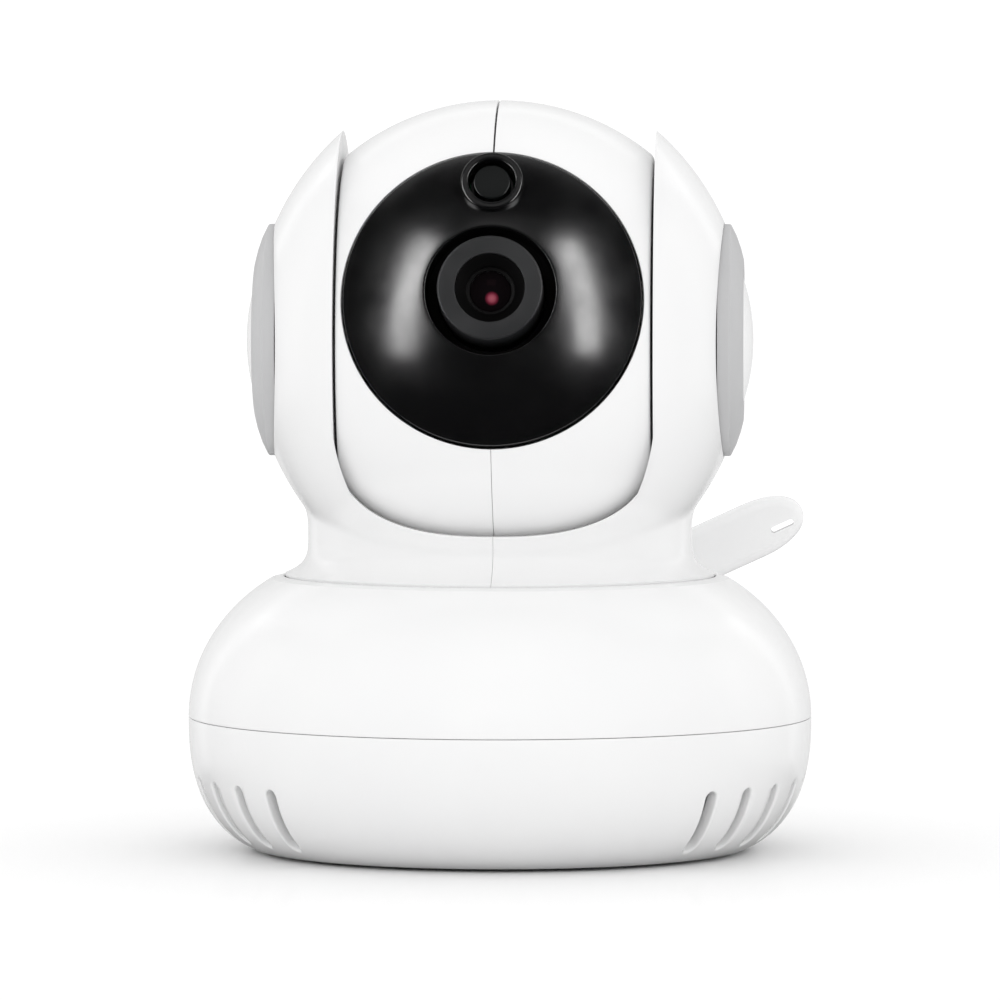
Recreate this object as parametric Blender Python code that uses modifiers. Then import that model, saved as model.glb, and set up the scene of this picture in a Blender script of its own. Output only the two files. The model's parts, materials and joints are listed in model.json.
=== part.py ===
"""A pan-and-tilt baby monitor camera, built from the pieces that it comes apart into.

Units are metres and +Z is up. The origin is on the pan axis, on the table. At rest the lens faces -Y.
The base stands on the table. The yoke turns on it about Z, the head tilts in the yoke about X, and
the antenna swings about Y on the back of the base.
"""

import math

import bmesh
import bpy
from mathutils import Matrix, Vector

MM = 0.001
GAP = 0.3 * MM  # clearance between neighbouring pieces

# Base: two moulded shells, closed by a seam at the widest place
BASE_R = 49.0 * MM
SEAM_Z = 21.1 * MM
SHELL_WALL = 2.0 * MM
UPPER_CORE_R = 20.0 * MM  # centre of the upper shell's elliptical outline
UPPER_RISE = 26.0 * MM
LOWER_CORE_R = 30.0 * MM  # centre of the lower shell's fuller outline
LOWER_DROP = 22.0 * MM
LOWER_POWER = 2.5
SHELL_FOOT_Z = 0.8 * MM
PAD_R = 36.5 * MM
PAD_TOP_Z = 1.4 * MM
FLOOR_Z = 3.4 * MM
DECK_R = 33.9 * MM  # recess in the top of the base, which takes the yoke's rim
DECK_Z = 41.5 * MM
DECK_LIP_Z = 43.3 * MM
WELL_R = 22.5 * MM
WELL_FLOOR_Z = 36.4 * MM
HUB_HOLE_R = 9.5 * MM
PLATE = 1.6 * MM

# Vents: upright slots on both sides of the lower shell
VENTS_PER_SIDE = 10
VENT_PITCH = math.radians(10.0)
VENT_WIDTH = 1.9 * MM
VENT_LOW_Z = 2.4 * MM
VENT_HIGH_Z = 11.8 * MM

# Yoke
RIM_R = 33.5 * MM
RIM_Z = 43.0 * MM
RIM_EDGE = 0.6 * MM
NECK_HALF_X = 30.2 * MM
NECK_HALF_Y = 25.2 * MM
NECK_TOP_Z = 59.0 * MM
ARMS_SEMI = (39.2 * MM, 37.6 * MM, 42.2 * MM)  # ellipsoid round the tilt axis
YOKE_WALL = 1.8 * MM
TURRET_R = 22.0 * MM
TURRET_Z = 36.9 * MM
POCKET_R = 38.1 * MM
POCKET_HALF = 24.6 * MM
POCKET_ROUND_Z = 66.0 * MM  # below this height the pocket's outline rounds in
POCKET_DROP = 15.4 * MM
POCKET_POWER = 2.6
ARM_INNER = 26.1 * MM
ARM_OUTER = 32.4 * MM

# Head: a ball with flat sides
TILT_Z = 80.2 * MM
HEAD_R = 37.6 * MM
HEAD_HALF = 24.2 * MM
HEAD_WALL = 1.6 * MM
HEAD_FILLET = 1.4 * MM
REST_TILT = math.radians(13.5)  # the face looks up by this angle
FACE_R = 22.9 * MM
FACE_DOME_R = 38.0 * MM
FACE_BACK = 28.4 * MM
WELL_EDGE_R = 10.6 * MM
LENS_HOLE_R = 9.9 * MM
SENSOR_UP = 17.1 * MM
SENSOR_OUT = 33.9 * MM
SENSOR_TURN = math.radians(12)  # the collar looks up a little more than the lens
COLLAR_R = 4.8 * MM
COLLAR_RISE = 1.7 * MM
COLLAR_HOLE_R = 3.6 * MM
LENS_R = 8.1 * MM
LENS_FRONT = 38.8 * MM
LENS_OPENING_R = 5.35 * MM
IR_LED_COUNT = 8
IR_LED_CIRCLE = 15.2 * MM

# Ears: a ring and a domed cap on the outside of each arm
EAR_R = 18.2 * MM
EAR_SEAT = 34.0 * MM
EAR_FRONT = 38.4 * MM
EAR_BORE = 11.6 * MM
CAP_R = 11.2 * MM
CAP_PEAK = 39.8 * MM
CAP_EDGE = 37.7 * MM

# Pan and tilt drives
MOTOR_CAN_R = 14.0 * MM
MOTOR_OFFSET = 8.0 * MM  # geared stepper: the shaft is off the can's centre
MOTOR_LOW_Z = 12.5 * MM
MOTOR_TOP_Z = 31.5 * MM
MOTOR_HOLE_X = 17.5 * MM
TILT_CAN_R = 10.0 * MM

# Electronics in the base
BOARD_Z = 7.0 * MM
BOARD = 1.6 * MM
SOCKET_Z = BOARD_Z + BOARD + GAP
USB_AZIMUTH = math.radians(90)
CARD_AZIMUTH = math.radians(62)
RESET_AZIMUTH = math.radians(115)
RESET_Z = 12.0 * MM
RESET_R = 1.7 * MM
BASE_SCREWS = [(x * 28.0 * MM, y * 16.0 * MM) for x in (-1, 1) for y in (-1, 1)]

# Antenna
ANTENNA_Z = 29.5 * MM
ANTENNA_Y = 49.5 * MM
ANTENNA_THICK = 4.2 * MM
ANTENNA_LENGTH = 52.0 * MM
ANTENNA_HALF = 4.6 * MM
ANTENNA_TIP = 9.0 * MM  # length of the rounded end
PIN_BORE_R = 1.9 * MM
PIN_HEAD_R = 3.0 * MM
PIN_REACH = 7.6 * MM
ANTENNA_REST = math.radians(65.4)  # leaning to +X from upright
ANTENNA_SLOT_AT = 48.0 * MM

STEPS = 32  # facets round the large pieces
SMALL_STEPS = 16
SCREW_STEPS = 10

FINISHES = {
    "white_plastic": ((0.88, 0.88, 0.88), 0.22, 0.0),
    "grey_plastic": ((0.60, 0.60, 0.605), 0.35, 0.0),
    "black_gloss": ((0.012, 0.012, 0.013), 0.18, 0.0),
    "black_matte": ((0.03, 0.03, 0.032), 0.5, 0.0),
    "glass": ((0.05, 0.02, 0.03), 0.05, 0.0),
    "rubber": ((0.12, 0.12, 0.12), 0.8, 0.0),
    "green_board": ((0.02, 0.18, 0.08), 0.45, 0.0),
    "steel": ((0.62, 0.62, 0.64), 0.3, 1.0),
    "brass": ((0.72, 0.52, 0.22), 0.35, 1.0),
    "natural_plastic": ((0.8, 0.78, 0.72), 0.4, 0.0),
    "clear_epoxy": ((0.5, 0.5, 0.55), 0.15, 0.0),
}


# Scene and finishes


def clear_scene():
    for thing in list(bpy.data.objects):
        bpy.data.objects.remove(thing, do_unlink=True)


def new_collection(name):
    made = bpy.data.collections.new(name)
    bpy.context.scene.collection.children.link(made)
    return made


def finish(obj, kind):
    """Gives the object a Principled material of its own."""
    colour, roughness, metallic = FINISHES[kind]
    material = bpy.data.materials.new(obj.name + "_finish")
    material.use_nodes = True
    shader = material.node_tree.nodes["Principled BSDF"]
    shader.inputs["Base Color"].default_value = (*colour, 1.0)
    shader.inputs["Roughness"].default_value = roughness
    shader.inputs["Metallic"].default_value = metallic
    obj.data.materials.clear()
    obj.data.materials.append(material)


clear_scene()
CAMERA = new_collection("baby_monitor_camera")
CUTTERS = new_collection("cutters")


def add(name, mesh, kind=None, parent=None, at=(0, 0, 0), turn=(0, 0, 0)):
    """A part of the camera, or a cutter where no finish is given."""
    obj = bpy.data.objects.new(name, mesh)
    obj.location = at
    obj.rotation_euler = turn
    obj.parent = parent
    if kind:
        CAMERA.objects.link(obj)
        finish(obj, kind)
    else:
        CUTTERS.objects.link(obj)
        obj.hide_render = True
        obj.display_type = "WIRE"
    return obj


def empty(name, at=(0, 0, 0), turn=(0, 0, 0), parent=None):
    made = bpy.data.objects.new(name, None)
    made.location = at
    made.rotation_euler = turn
    made.parent = parent
    CAMERA.objects.link(made)
    return made


# Shapes


def mesh_of(bm, name):
    mesh = bpy.data.meshes.new(name)
    bm.to_mesh(mesh)
    bm.free()
    return mesh


def box(name, low, high, kind=None, bevel=0.0, **place):
    """A box between two corners."""
    low, high = Vector(low), Vector(high)
    bm = bmesh.new()
    bmesh.ops.create_cube(bm, size=1.0)
    size = high - low
    bmesh.ops.scale(bm, vec=size, verts=bm.verts)
    bmesh.ops.translate(bm, vec=(low + high) / 2, verts=bm.verts)
    obj = add(name, mesh_of(bm, name), kind, **place)
    if bevel:
        edge = obj.modifiers.new("edges", "BEVEL")
        edge.width = bevel
        edge.segments = 1
    return obj


def rod(name, radius, low, high, kind=None, sides=SMALL_STEPS, **place):
    """A cylinder along its own Z, between two heights."""
    bm = bmesh.new()
    bmesh.ops.create_cone(
        bm, cap_ends=True, segments=sides, radius1=radius, radius2=radius, depth=high - low
    )
    bmesh.ops.translate(bm, vec=(0, 0, (low + high) / 2), verts=bm.verts)
    return add(name, mesh_of(bm, name), kind, **place)


def turned(name, outline, kind=None, steps=SMALL_STEPS, closed=True, **place):
    """An outline of (radius, height) points, which runs down its outer side, turned about its own Z."""
    count = len(outline)
    mesh = bpy.data.meshes.new(name)
    edges = [(i, (i + 1) % count) for i in range(count if closed else count - 1)]
    mesh.from_pydata([(r, 0, z) for r, z in outline], edges, [])
    obj = add(name, mesh, kind, **place)
    screw = obj.modifiers.new("turn", "SCREW")
    screw.steps = screw.render_steps = steps
    screw.use_merge_vertices = True
    screw.merge_threshold = 0.00001
    screw.use_smooth_shade = True
    return obj


def loft(name, rings, kind=None, **place):
    """A closed solid through rings of points that all have the same count."""
    bm = bmesh.new()
    loops = [[bm.verts.new(point) for point in ring] for ring in rings]
    count = len(rings[0])
    for lower, upper in zip(loops, loops[1:]):
        for i in range(count):
            j = (i + 1) % count
            bm.faces.new((lower[i], lower[j], upper[j], upper[i]))
    bm.faces.new(list(reversed(loops[0])))
    bm.faces.new(loops[-1])
    return add(name, mesh_of(bm, name), kind, **place)


def ellipsoid(name, semi, kind=None, segments=STEPS, rings=18, **place):
    bm = bmesh.new()
    bmesh.ops.create_uvsphere(bm, u_segments=segments, v_segments=rings, radius=1.0)
    bmesh.ops.scale(bm, vec=semi, verts=bm.verts)
    return add(name, mesh_of(bm, name), kind, **place)


def plate(name, outline, thickness, kind=None, **place):
    """A flat outline in its own XY plane, given thickness on both sides of it."""
    curve = bpy.data.curves.new(name, "CURVE")
    curve.dimensions = "2D"
    curve.fill_mode = "BOTH"
    curve.extrude = thickness / 2
    spline = curve.splines.new("POLY")
    spline.points.add(len(outline) - 1)
    for point, (x, y) in zip(spline.points, outline):
        point.co = (x, y, 0, 1)
    spline.use_cyclic_u = True
    guide = bpy.data.objects.new(name + "_outline", curve)
    CUTTERS.objects.link(guide)
    solid = guide.evaluated_get(bpy.context.evaluated_depsgraph_get())
    mesh = bpy.data.meshes.new_from_object(solid)
    bpy.data.objects.remove(guide)
    bm = bmesh.new()
    bm.from_mesh(mesh)
    bmesh.ops.remove_doubles(bm, verts=bm.verts, dist=1e-5)
    bmesh.ops.recalc_face_normals(bm, faces=bm.faces)
    bm.to_mesh(mesh)
    bm.free()
    return add(name, mesh, kind, **place)


def join(obj, other, how="UNION", solver="EXACT"):
    """Joins, cuts or intersects obj with a cutter."""
    boolean = obj.modifiers.new(how.lower() + "_" + other.name, "BOOLEAN")
    boolean.operation = how
    boolean.solver = solver
    boolean.object = other
    return obj


def cut(obj, other, solver="EXACT"):
    return join(obj, other, "DIFFERENCE", solver)


def mirrored(obj, name, kind):
    """A copy of the finished shape, mirrored in the plane x = 0."""
    bpy.context.view_layer.update()
    shape = obj.evaluated_get(bpy.context.evaluated_depsgraph_get())
    mesh = bpy.data.meshes.new_from_object(shape)
    mesh.transform(Matrix.Scale(-1, 4, (1, 0, 0)) @ obj.matrix_world)
    mesh.flip_normals()
    copy = add(name, mesh, kind)
    return copy


def arc(radius, start, end, count, centre=(0.0, 0.0)):
    """Points on a circle, from one angle to another, as (radius, height)."""
    angles = [start + (end - start) * i / (count - 1) for i in range(count)]
    return [(centre[0] + radius * math.cos(a), centre[1] + radius * math.sin(a)) for a in angles]


# Outlines of the base


def upper_outline(inset, r_from, count):
    """The upper shell's quarter ellipse, from radius r_from out and down to the seam."""
    half = BASE_R - UPPER_CORE_R - inset
    rise = UPPER_RISE - inset
    start = math.acos((r_from - UPPER_CORE_R) / half)
    angles = [start * (1 - i / (count - 1)) for i in range(count)]
    return [(UPPER_CORE_R + half * math.cos(a), SEAM_Z + rise * math.sin(a)) for a in angles]


def lower_outline(inset, z_to, count):
    """The lower shell's rounded-square quarter, from the seam down to height z_to."""
    half = BASE_R - LOWER_CORE_R - inset
    drop = LOWER_DROP - inset
    end = math.asin(((SEAM_Z - z_to) / drop) ** (LOWER_POWER / 2))
    angles = [end * i / (count - 1) for i in range(count)]
    power = 2 / LOWER_POWER
    return [
        (LOWER_CORE_R + half * math.cos(a) ** power, SEAM_Z - drop * math.sin(a) ** power)
        for a in angles
    ]


def lower_radius(z):
    """Outer radius of the lower shell at height z."""
    return lower_outline(0.0, z, 2)[-1][0]


# Base


def radial(azimuth):
    """A turn that points a piece's own Z straight out from the pan axis."""
    return (0, math.radians(90), azimuth)


def vent_cutter():
    """All the slots as one cutter, each an upright flat bar that points outward."""
    bm = bmesh.new()
    reach = 8.0 * MM
    middle = 45.5 * MM
    for side in (0.0, math.pi):
        for k in range(VENTS_PER_SIDE):
            azimuth = side + (k - (VENTS_PER_SIDE - 1) / 2) * VENT_PITCH
            slot = bmesh.ops.create_cube(bm, size=1.0)["verts"]
            size = (reach, VENT_WIDTH, VENT_HIGH_Z - VENT_LOW_Z)
            bmesh.ops.scale(bm, vec=size, verts=slot)
            shift = Matrix.Translation((middle, 0, (VENT_LOW_Z + VENT_HIGH_Z) / 2))
            bmesh.ops.transform(bm, matrix=Matrix.Rotation(azimuth, 4, "Z") @ shift, verts=slot)
    return add("vent_slots", mesh_of(bm, "vent_slots"))


def make_lower_shell():
    lip_r = BASE_R - SHELL_WALL - GAP
    lip = 1.2 * MM
    outer = lower_outline(0.0, SHELL_FOOT_Z, 8)
    outer[0] = (BASE_R, SEAM_Z - GAP / 2)
    inner = list(reversed(lower_outline(SHELL_WALL, FLOOR_Z, 5)))
    ledge = [
        (lip_r - lip, SEAM_Z - 1.0 * MM),
        (lip_r - lip, SEAM_Z + 1.5 * MM),
        (lip_r, SEAM_Z + 1.5 * MM),
        (lip_r, SEAM_Z - GAP / 2),
    ]
    foot = [
        (PAD_R + GAP, SHELL_FOOT_Z),
        (PAD_R + GAP, PAD_TOP_Z + GAP),
        (0.0, PAD_TOP_Z + GAP),
    ]
    outline = [(0.0, FLOOR_Z)] + inner[:-1] + ledge + outer + foot
    shell = turned("base_lower_shell", outline, "white_plastic", steps=STEPS, closed=False)
    for i, (x, y) in enumerate(BASE_SCREWS):
        post = rod(f"post_{i}", 3.4 * MM, FLOOR_Z - 0.5 * MM, 12.0 * MM, at=(x, y, 0), sides=16)
        join(shell, post)
        hole = rod(f"post_hole_{i}", 1.7 * MM, 0, 13.0 * MM, at=(x, y, 0), sides=SCREW_STEPS)
        cut(shell, hole)
        seat = rod(f"post_seat_{i}", 2.9 * MM, 0, 4.2 * MM, at=(x, y, 0), sides=SCREW_STEPS)
        cut(shell, seat)
    cut(shell, vent_cutter())
    usb = box("usb_hole", (40 * MM, -4.4 * MM, 8.4 * MM), (52 * MM, 4.4 * MM, 12.0 * MM))
    usb.rotation_euler.z = USB_AZIMUTH
    cut(shell, usb)
    card = box("card_hole", (38 * MM, -6.3 * MM, 9.1 * MM), (52 * MM, 6.3 * MM, 10.7 * MM))
    card.rotation_euler.z = CARD_AZIMUTH
    cut(shell, card)
    at = (0, 0, RESET_Z)
    reset = rod("reset_hole", RESET_R + GAP, 40 * MM, 52 * MM, at=at, turn=radial(RESET_AZIMUTH))
    cut(shell, reset)
    return shell


def make_upper_shell():
    under_deck = DECK_Z - PLATE
    inner_r = UPPER_CORE_R + (BASE_R - UPPER_CORE_R - SHELL_WALL) * math.sqrt(
        1 - ((under_deck - SEAM_Z) / (UPPER_RISE - SHELL_WALL)) ** 2
    )
    outer = [(DECK_R, DECK_LIP_Z)] + upper_outline(0.0, 36.0 * MM, 8)
    outer[-1] = (BASE_R, SEAM_Z + GAP / 2)
    inner = list(reversed(upper_outline(SHELL_WALL, inner_r, 5)))
    inner[0] = (BASE_R - SHELL_WALL, SEAM_Z + GAP / 2)
    well = [
        (WELL_R + PLATE, under_deck),
        (WELL_R + PLATE, WELL_FLOOR_Z - PLATE),
        (HUB_HOLE_R, WELL_FLOOR_Z - PLATE),
        (HUB_HOLE_R, WELL_FLOOR_Z),
        (WELL_R, WELL_FLOOR_Z),
        (WELL_R, DECK_Z),
        (DECK_R, DECK_Z),
    ]
    shell = turned("base_upper_shell", outer + inner + well, "white_plastic", steps=STEPS)
    for i, (x, y) in enumerate(BASE_SCREWS):
        boss = rod(f"boss_{i}", 3.2 * MM, 12.4 * MM, DECK_Z - 0.5 * MM, at=(x, y, 0), sides=16)
        join(shell, boss)
        pilot = rod(f"boss_hole_{i}", 1.6 * MM, 12.0 * MM, 20 * MM, at=(x, y, 0), sides=SCREW_STEPS)
        cut(shell, pilot)
    for i, x in enumerate((-MOTOR_HOLE_X, MOTOR_HOLE_X)):
        at = (x, MOTOR_OFFSET, 0)
        post_top = WELL_FLOOR_Z - 0.5 * MM
        join(shell, rod(f"motor_post_{i}", 3.0 * MM, MOTOR_TOP_Z + GAP, post_top, at=at, sides=16))
        cut(shell, rod(f"motor_post_hole_{i}", 1.5 * MM, MOTOR_TOP_Z, 35.0 * MM, at=at, sides=SCREW_STEPS))
    turn = radial(math.radians(90))
    boss_hole = rod("antenna_boss_hole", 5.3 * MM, 36 * MM, 52 * MM, at=(0, 0, ANTENNA_Z), turn=turn)
    cut(shell, boss_hole)
    return shell


def make_screw(name, at, head_r, head_low, head_high, shaft_r, tip, turn=(0, 0, 0)):
    """A pan-head screw along its own Z, head at the lower end."""
    outline = [
        (0.0, tip),
        (shaft_r * 0.6, tip),
        (shaft_r, tip - shaft_r),
        (shaft_r, head_high),
        (head_r, head_high),
        (head_r, head_low + 0.3 * MM),
        (head_r - 0.5 * MM, head_low),
        (0.0, head_low),
    ]
    return turned(name, outline, "steel", steps=SCREW_STEPS, closed=False, at=at, turn=turn)


def make_pad():
    edge = 0.4 * MM
    outline = [
        (0.0, PAD_TOP_Z),
        (PAD_R, PAD_TOP_Z),
        (PAD_R, edge),
        (PAD_R - edge, 0.0),
        (0.0, 0.0),
    ]
    return turned("non_slip_pad", outline, "rubber", steps=STEPS, closed=False)


def make_board():
    board = box(
        "main_board", (-22 * MM, -12 * MM, BOARD_Z), (22 * MM, 36.5 * MM, BOARD_Z + BOARD), "green_board"
    )
    tongue = box(
        "board_tongue", (-6 * MM, 30 * MM, BOARD_Z), (6 * MM, 43 * MM, BOARD_Z + BOARD)
    )
    join(board, tongue)
    low, high = (-9 * MM, -3 * MM, SOCKET_Z), (9 * MM, 15 * MM, 11.4 * MM)
    box("processor_shield", low, high, "steel", bevel=0.4 * MM)
    low, high = (9.6 * MM, -10 * MM, SOCKET_Z), (20 * MM, 4 * MM, 11.0 * MM)
    box("wifi_module", low, high, "steel", bevel=0.3 * MM)
    rod("microphone", 3.0 * MM, SOCKET_Z, 11.1 * MM, "steel", at=(-15 * MM, -8 * MM, 0), sides=16)


def make_sockets():
    low, high = (38.9 * MM, -3.75 * MM, SOCKET_Z), (44.5 * MM, 3.75 * MM, 11.5 * MM)
    usb = box("micro_usb_socket", low, high, "steel")
    usb.rotation_euler.z = USB_AZIMUTH
    mouth = box("usb_mouth", (40.5 * MM, -3.4 * MM, 9.3 * MM), (46 * MM, 3.4 * MM, 11.1 * MM))
    mouth.rotation_euler.z = USB_AZIMUTH
    cut(usb, mouth)
    card = box("memory_card_slot", (26 * MM, -6.0 * MM, SOCKET_Z), (40 * MM, 6.0 * MM, 10.8 * MM), "steel")
    card.rotation_euler.z = CARD_AZIMUTH
    mouth = box("card_mouth", (28 * MM, -5.6 * MM, 9.4 * MM), (42 * MM, 5.6 * MM, 10.3 * MM))
    mouth.rotation_euler.z = CARD_AZIMUTH
    cut(card, mouth)


def make_reset():
    face = lower_radius(RESET_Z) + 0.3 * MM
    flange_r = 2.8 * MM
    back = 41.3 * MM
    outline = [
        (0.0, face),
        (RESET_R - 0.4 * MM, face),
        (RESET_R, face - 0.4 * MM),
        (RESET_R, back + 1.0 * MM),
        (flange_r, back + 1.0 * MM),
        (flange_r, back),
        (0.0, back),
    ]
    turned(
        "reset_button", outline, "grey_plastic", steps=16, closed=False,
        at=(0, 0, RESET_Z), turn=radial(RESET_AZIMUTH),
    )
    low, high = (34.8 * MM, -3 * MM, SOCKET_Z), (40.4 * MM, 3 * MM, 15 * MM)
    switch = box("reset_switch", low, high, "black_matte")
    switch.rotation_euler.z = RESET_AZIMUTH


def make_speaker():
    outline = [
        (0.0, 36.2 * MM),
        (8.5 * MM, 37.2 * MM),
        (10.6 * MM, 37.5 * MM),
        (11.0 * MM, 37.2 * MM),
        (11.0 * MM, 35.5 * MM),
        (7.0 * MM, 33.4 * MM),
        (7.0 * MM, 31.2 * MM),
        (0.0, 31.2 * MM),
    ]
    turned("speaker", outline, "black_matte", steps=24, closed=False, at=(0, 0, SEAM_Z), turn=radial(0.0))


def make_pan_drive():
    centre = (0, MOTOR_OFFSET, 0)
    motor = rod("pan_motor", MOTOR_CAN_R, MOTOR_LOW_Z, MOTOR_TOP_Z, "steel", sides=32, at=centre)
    lug = 21 * MM
    join(motor, box("motor_lugs", (-lug, -3.5 * MM, 30.7 * MM), (lug, 3.5 * MM, MOTOR_TOP_Z), at=centre))
    join(motor, rod("motor_boss", 4.6 * MM, 30 * MM, MOTOR_TOP_Z + 1.5 * MM))
    wires = box(
        "motor_wire_box", (-7.3 * MM, 10 * MM, 13.5 * MM), (7.3 * MM, 17 * MM, 30.5 * MM), at=centre
    )
    join(motor, wires)
    for i, x in enumerate((-MOTOR_HOLE_X, MOTOR_HOLE_X)):
        at = (x, MOTOR_OFFSET, 0)
        cut(motor, rod(f"lug_hole_{i}", 1.6 * MM, 29 * MM, 33 * MM, at=at, sides=SCREW_STEPS))
        make_screw(f"pan_motor_screw_{i + 1}", at, 2.5 * MM, 28.8 * MM, 30.4 * MM, 1.2 * MM, 34.6 * MM)
    glide = [
        (31 * MM, 42.7 * MM),
        (31 * MM, 41.8 * MM),
        (27 * MM, 41.8 * MM),
        (27 * MM, 42.7 * MM),
    ]
    turned("pan_glide_ring", glide, "natural_plastic", steps=STEPS)


def make_antenna():
    base_turn = radial(math.radians(90))
    bracket = [
        (0.0, 49.2 * MM),
        (4.6 * MM, 49.2 * MM),
        (5.0 * MM, 48.8 * MM),
        (5.0 * MM, 39.3 * MM),
        (6.5 * MM, 39.3 * MM),
        (6.5 * MM, 37.5 * MM),
        (0.0, 37.5 * MM),
    ]
    boss = turned(
        "antenna_bracket", bracket, "white_plastic", closed=False, at=(0, 0, ANTENNA_Z), turn=base_turn
    )
    at = (0, 0, ANTENNA_Z)
    bore = rod("pin_bore", PIN_BORE_R, 43.5 * MM, 50 * MM, at=at, turn=base_turn, sides=SCREW_STEPS)
    cut(boss, bore)
    pivot = empty(
        "antenna_pivot", at=(0, ANTENNA_Y + ANTENNA_THICK / 2, ANTENNA_Z), turn=(0, ANTENNA_REST, 0)
    )
    root = arc(ANTENNA_HALF, math.radians(180), math.radians(360), 11)
    shoulder = ANTENNA_LENGTH - ANTENNA_TIP
    tip = [
        (ANTENNA_HALF * math.cos(a) ** 0.9, shoulder + ANTENNA_TIP * math.sin(a) ** 0.9)
        for a in [math.radians(90) * i / 7 for i in range(8)]
    ]
    outline = root + tip + [(-x, y) for x, y in reversed(tip[:-1])]
    upright = (math.radians(90), 0, 0)
    paddle = plate(
        "antenna_paddle", outline, ANTENNA_THICK, "white_plastic", parent=pivot, turn=upright
    )
    edge = paddle.modifiers.new("edges", "BEVEL")
    edge.width = 0.6 * MM
    edge.segments = 1
    edge.limit_method = "ANGLE"
    edge.angle_limit = math.radians(60)
    slot_half = 0.5 * MM
    low, high = ANTENNA_SLOT_AT - 2.0 * MM, ANTENNA_SLOT_AT + 2.0 * MM
    slot = box(
        "antenna_slot", (0.7 * MM, -10 * MM, low), (0.7 * MM + 2 * slot_half, 10 * MM, high), parent=pivot
    )
    cut(paddle, slot)
    half = ANTENNA_THICK / 2
    hole_turn = (math.radians(-90), 0, 0)
    across = dict(parent=pivot, turn=hole_turn)
    cut(paddle, rod("pin_hole", PIN_BORE_R, -half - MM, half + MM, sides=SCREW_STEPS, **across))
    cut(paddle, rod("pin_seat", PIN_HEAD_R + GAP, half - 1.3 * MM, half + MM, **across))
    pin_head = half - 1.0 * MM
    pin = [
        (0.0, half + 0.2 * MM),
        (PIN_HEAD_R - 0.4 * MM, half + 0.2 * MM),
        (PIN_HEAD_R, half - 0.2 * MM),
        (PIN_HEAD_R, pin_head),
        (PIN_BORE_R - GAP, pin_head),
        (PIN_BORE_R - GAP, -PIN_REACH),
        (0.0, -PIN_REACH),
    ]
    turned("antenna_pin", pin, "steel", steps=16, closed=False, **across)


# Yoke


def neck_ring(z, inset=0.0, count=STEPS):
    """One oval section of the neck, which flares to the round rim and widens into the arms."""
    low = RIM_Z + RIM_EDGE
    side = max(0.0, 1 - (z - low) / (6.4 * MM)) ** 4.5
    front = max(0.0, 1 - (z - low) / (7.4 * MM)) ** 3
    widening = 0.055 / MM * max(0.0, z - 51 * MM) ** 2
    if z <= low:
        side = front = 1.0
    half_x = NECK_HALF_X + (RIM_R - NECK_HALF_X) * side + widening - inset
    half_y = NECK_HALF_Y + (RIM_R - NECK_HALF_Y) * front + 0.4 * widening - inset
    angles = [2 * math.pi * i / count for i in range(count)]
    return [(half_x * math.cos(a), half_y * math.sin(a), z) for a in angles]


def neck(name, z_low, z_high, inset=0.0):
    heights = [z_low]
    for step in (43.6, 44.1, 44.7, 45.6, 47.0, 49.0, 51.0, 53.0, 55.0, 57.0, 59.0):
        if z_low + 0.05 * MM < step * MM < z_high:
            heights.append(step * MM)
    heights.append(z_high)
    return loft(name, [neck_ring(z, inset) for z in heights])


def barrel(name, radius, half, steps=STEPS, arcs=12):
    """A ball with flat sides, turned about the tilt axis."""
    edge = math.acos(half / radius)
    ball = arc(radius, edge, math.pi - edge, arcs)
    outline = [(0.0, half)] + [(r, x) for x, r in ball] + [(0.0, -half)]
    return turned(
        name, outline, steps=steps, closed=False, at=(0, 0, TILT_Z), turn=(0, math.radians(90), 0)
    )


def pocket_front():
    """The opening between the arms, seen from the front: straight sides, rounded in at the bottom."""
    power = 2 / POCKET_POWER
    angles = [math.radians(90) * i / 12 for i in range(13)]
    curve = [
        (POCKET_HALF * math.cos(a) ** power, POCKET_ROUND_Z - POCKET_DROP * math.sin(a) ** power)
        for a in angles
    ]
    top = 130 * MM
    across = [(-x, z) for x, z in reversed(curve[:-1])]
    outline = [(POCKET_HALF, top)] + curve + across + [(-POCKET_HALF, top)]
    return plate("pocket_front", outline, 110 * MM, turn=(math.radians(90), 0, 0))


def yoke_cavity():
    """The hollow of the right-hand half: the arm, the neck and the turret below the pocket."""
    hollow = neck("neck_hollow", RIM_Z + 1.5 * MM, 57 * MM, YOKE_WALL)
    join(hollow, rod("turret_hollow", TURRET_R - 1.6 * MM, TURRET_Z + 1.5 * MM, 46 * MM, sides=STEPS))
    cut(hollow, barrel("pocket_wall", POCKET_R + PLATE, POCKET_HALF + 1.5 * MM))
    semi = [s - YOKE_WALL for s in ARMS_SEMI]
    arm = ellipsoid("arm_hollow", semi, segments=24, rings=12, at=(0, 0, TILT_Z))
    slab = box("arm_slab", (ARM_INNER, -50 * MM, 30 * MM), (ARM_OUTER, 50 * MM, 130 * MM))
    join(arm, slab, "INTERSECT")
    return join(hollow, arm)


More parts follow.
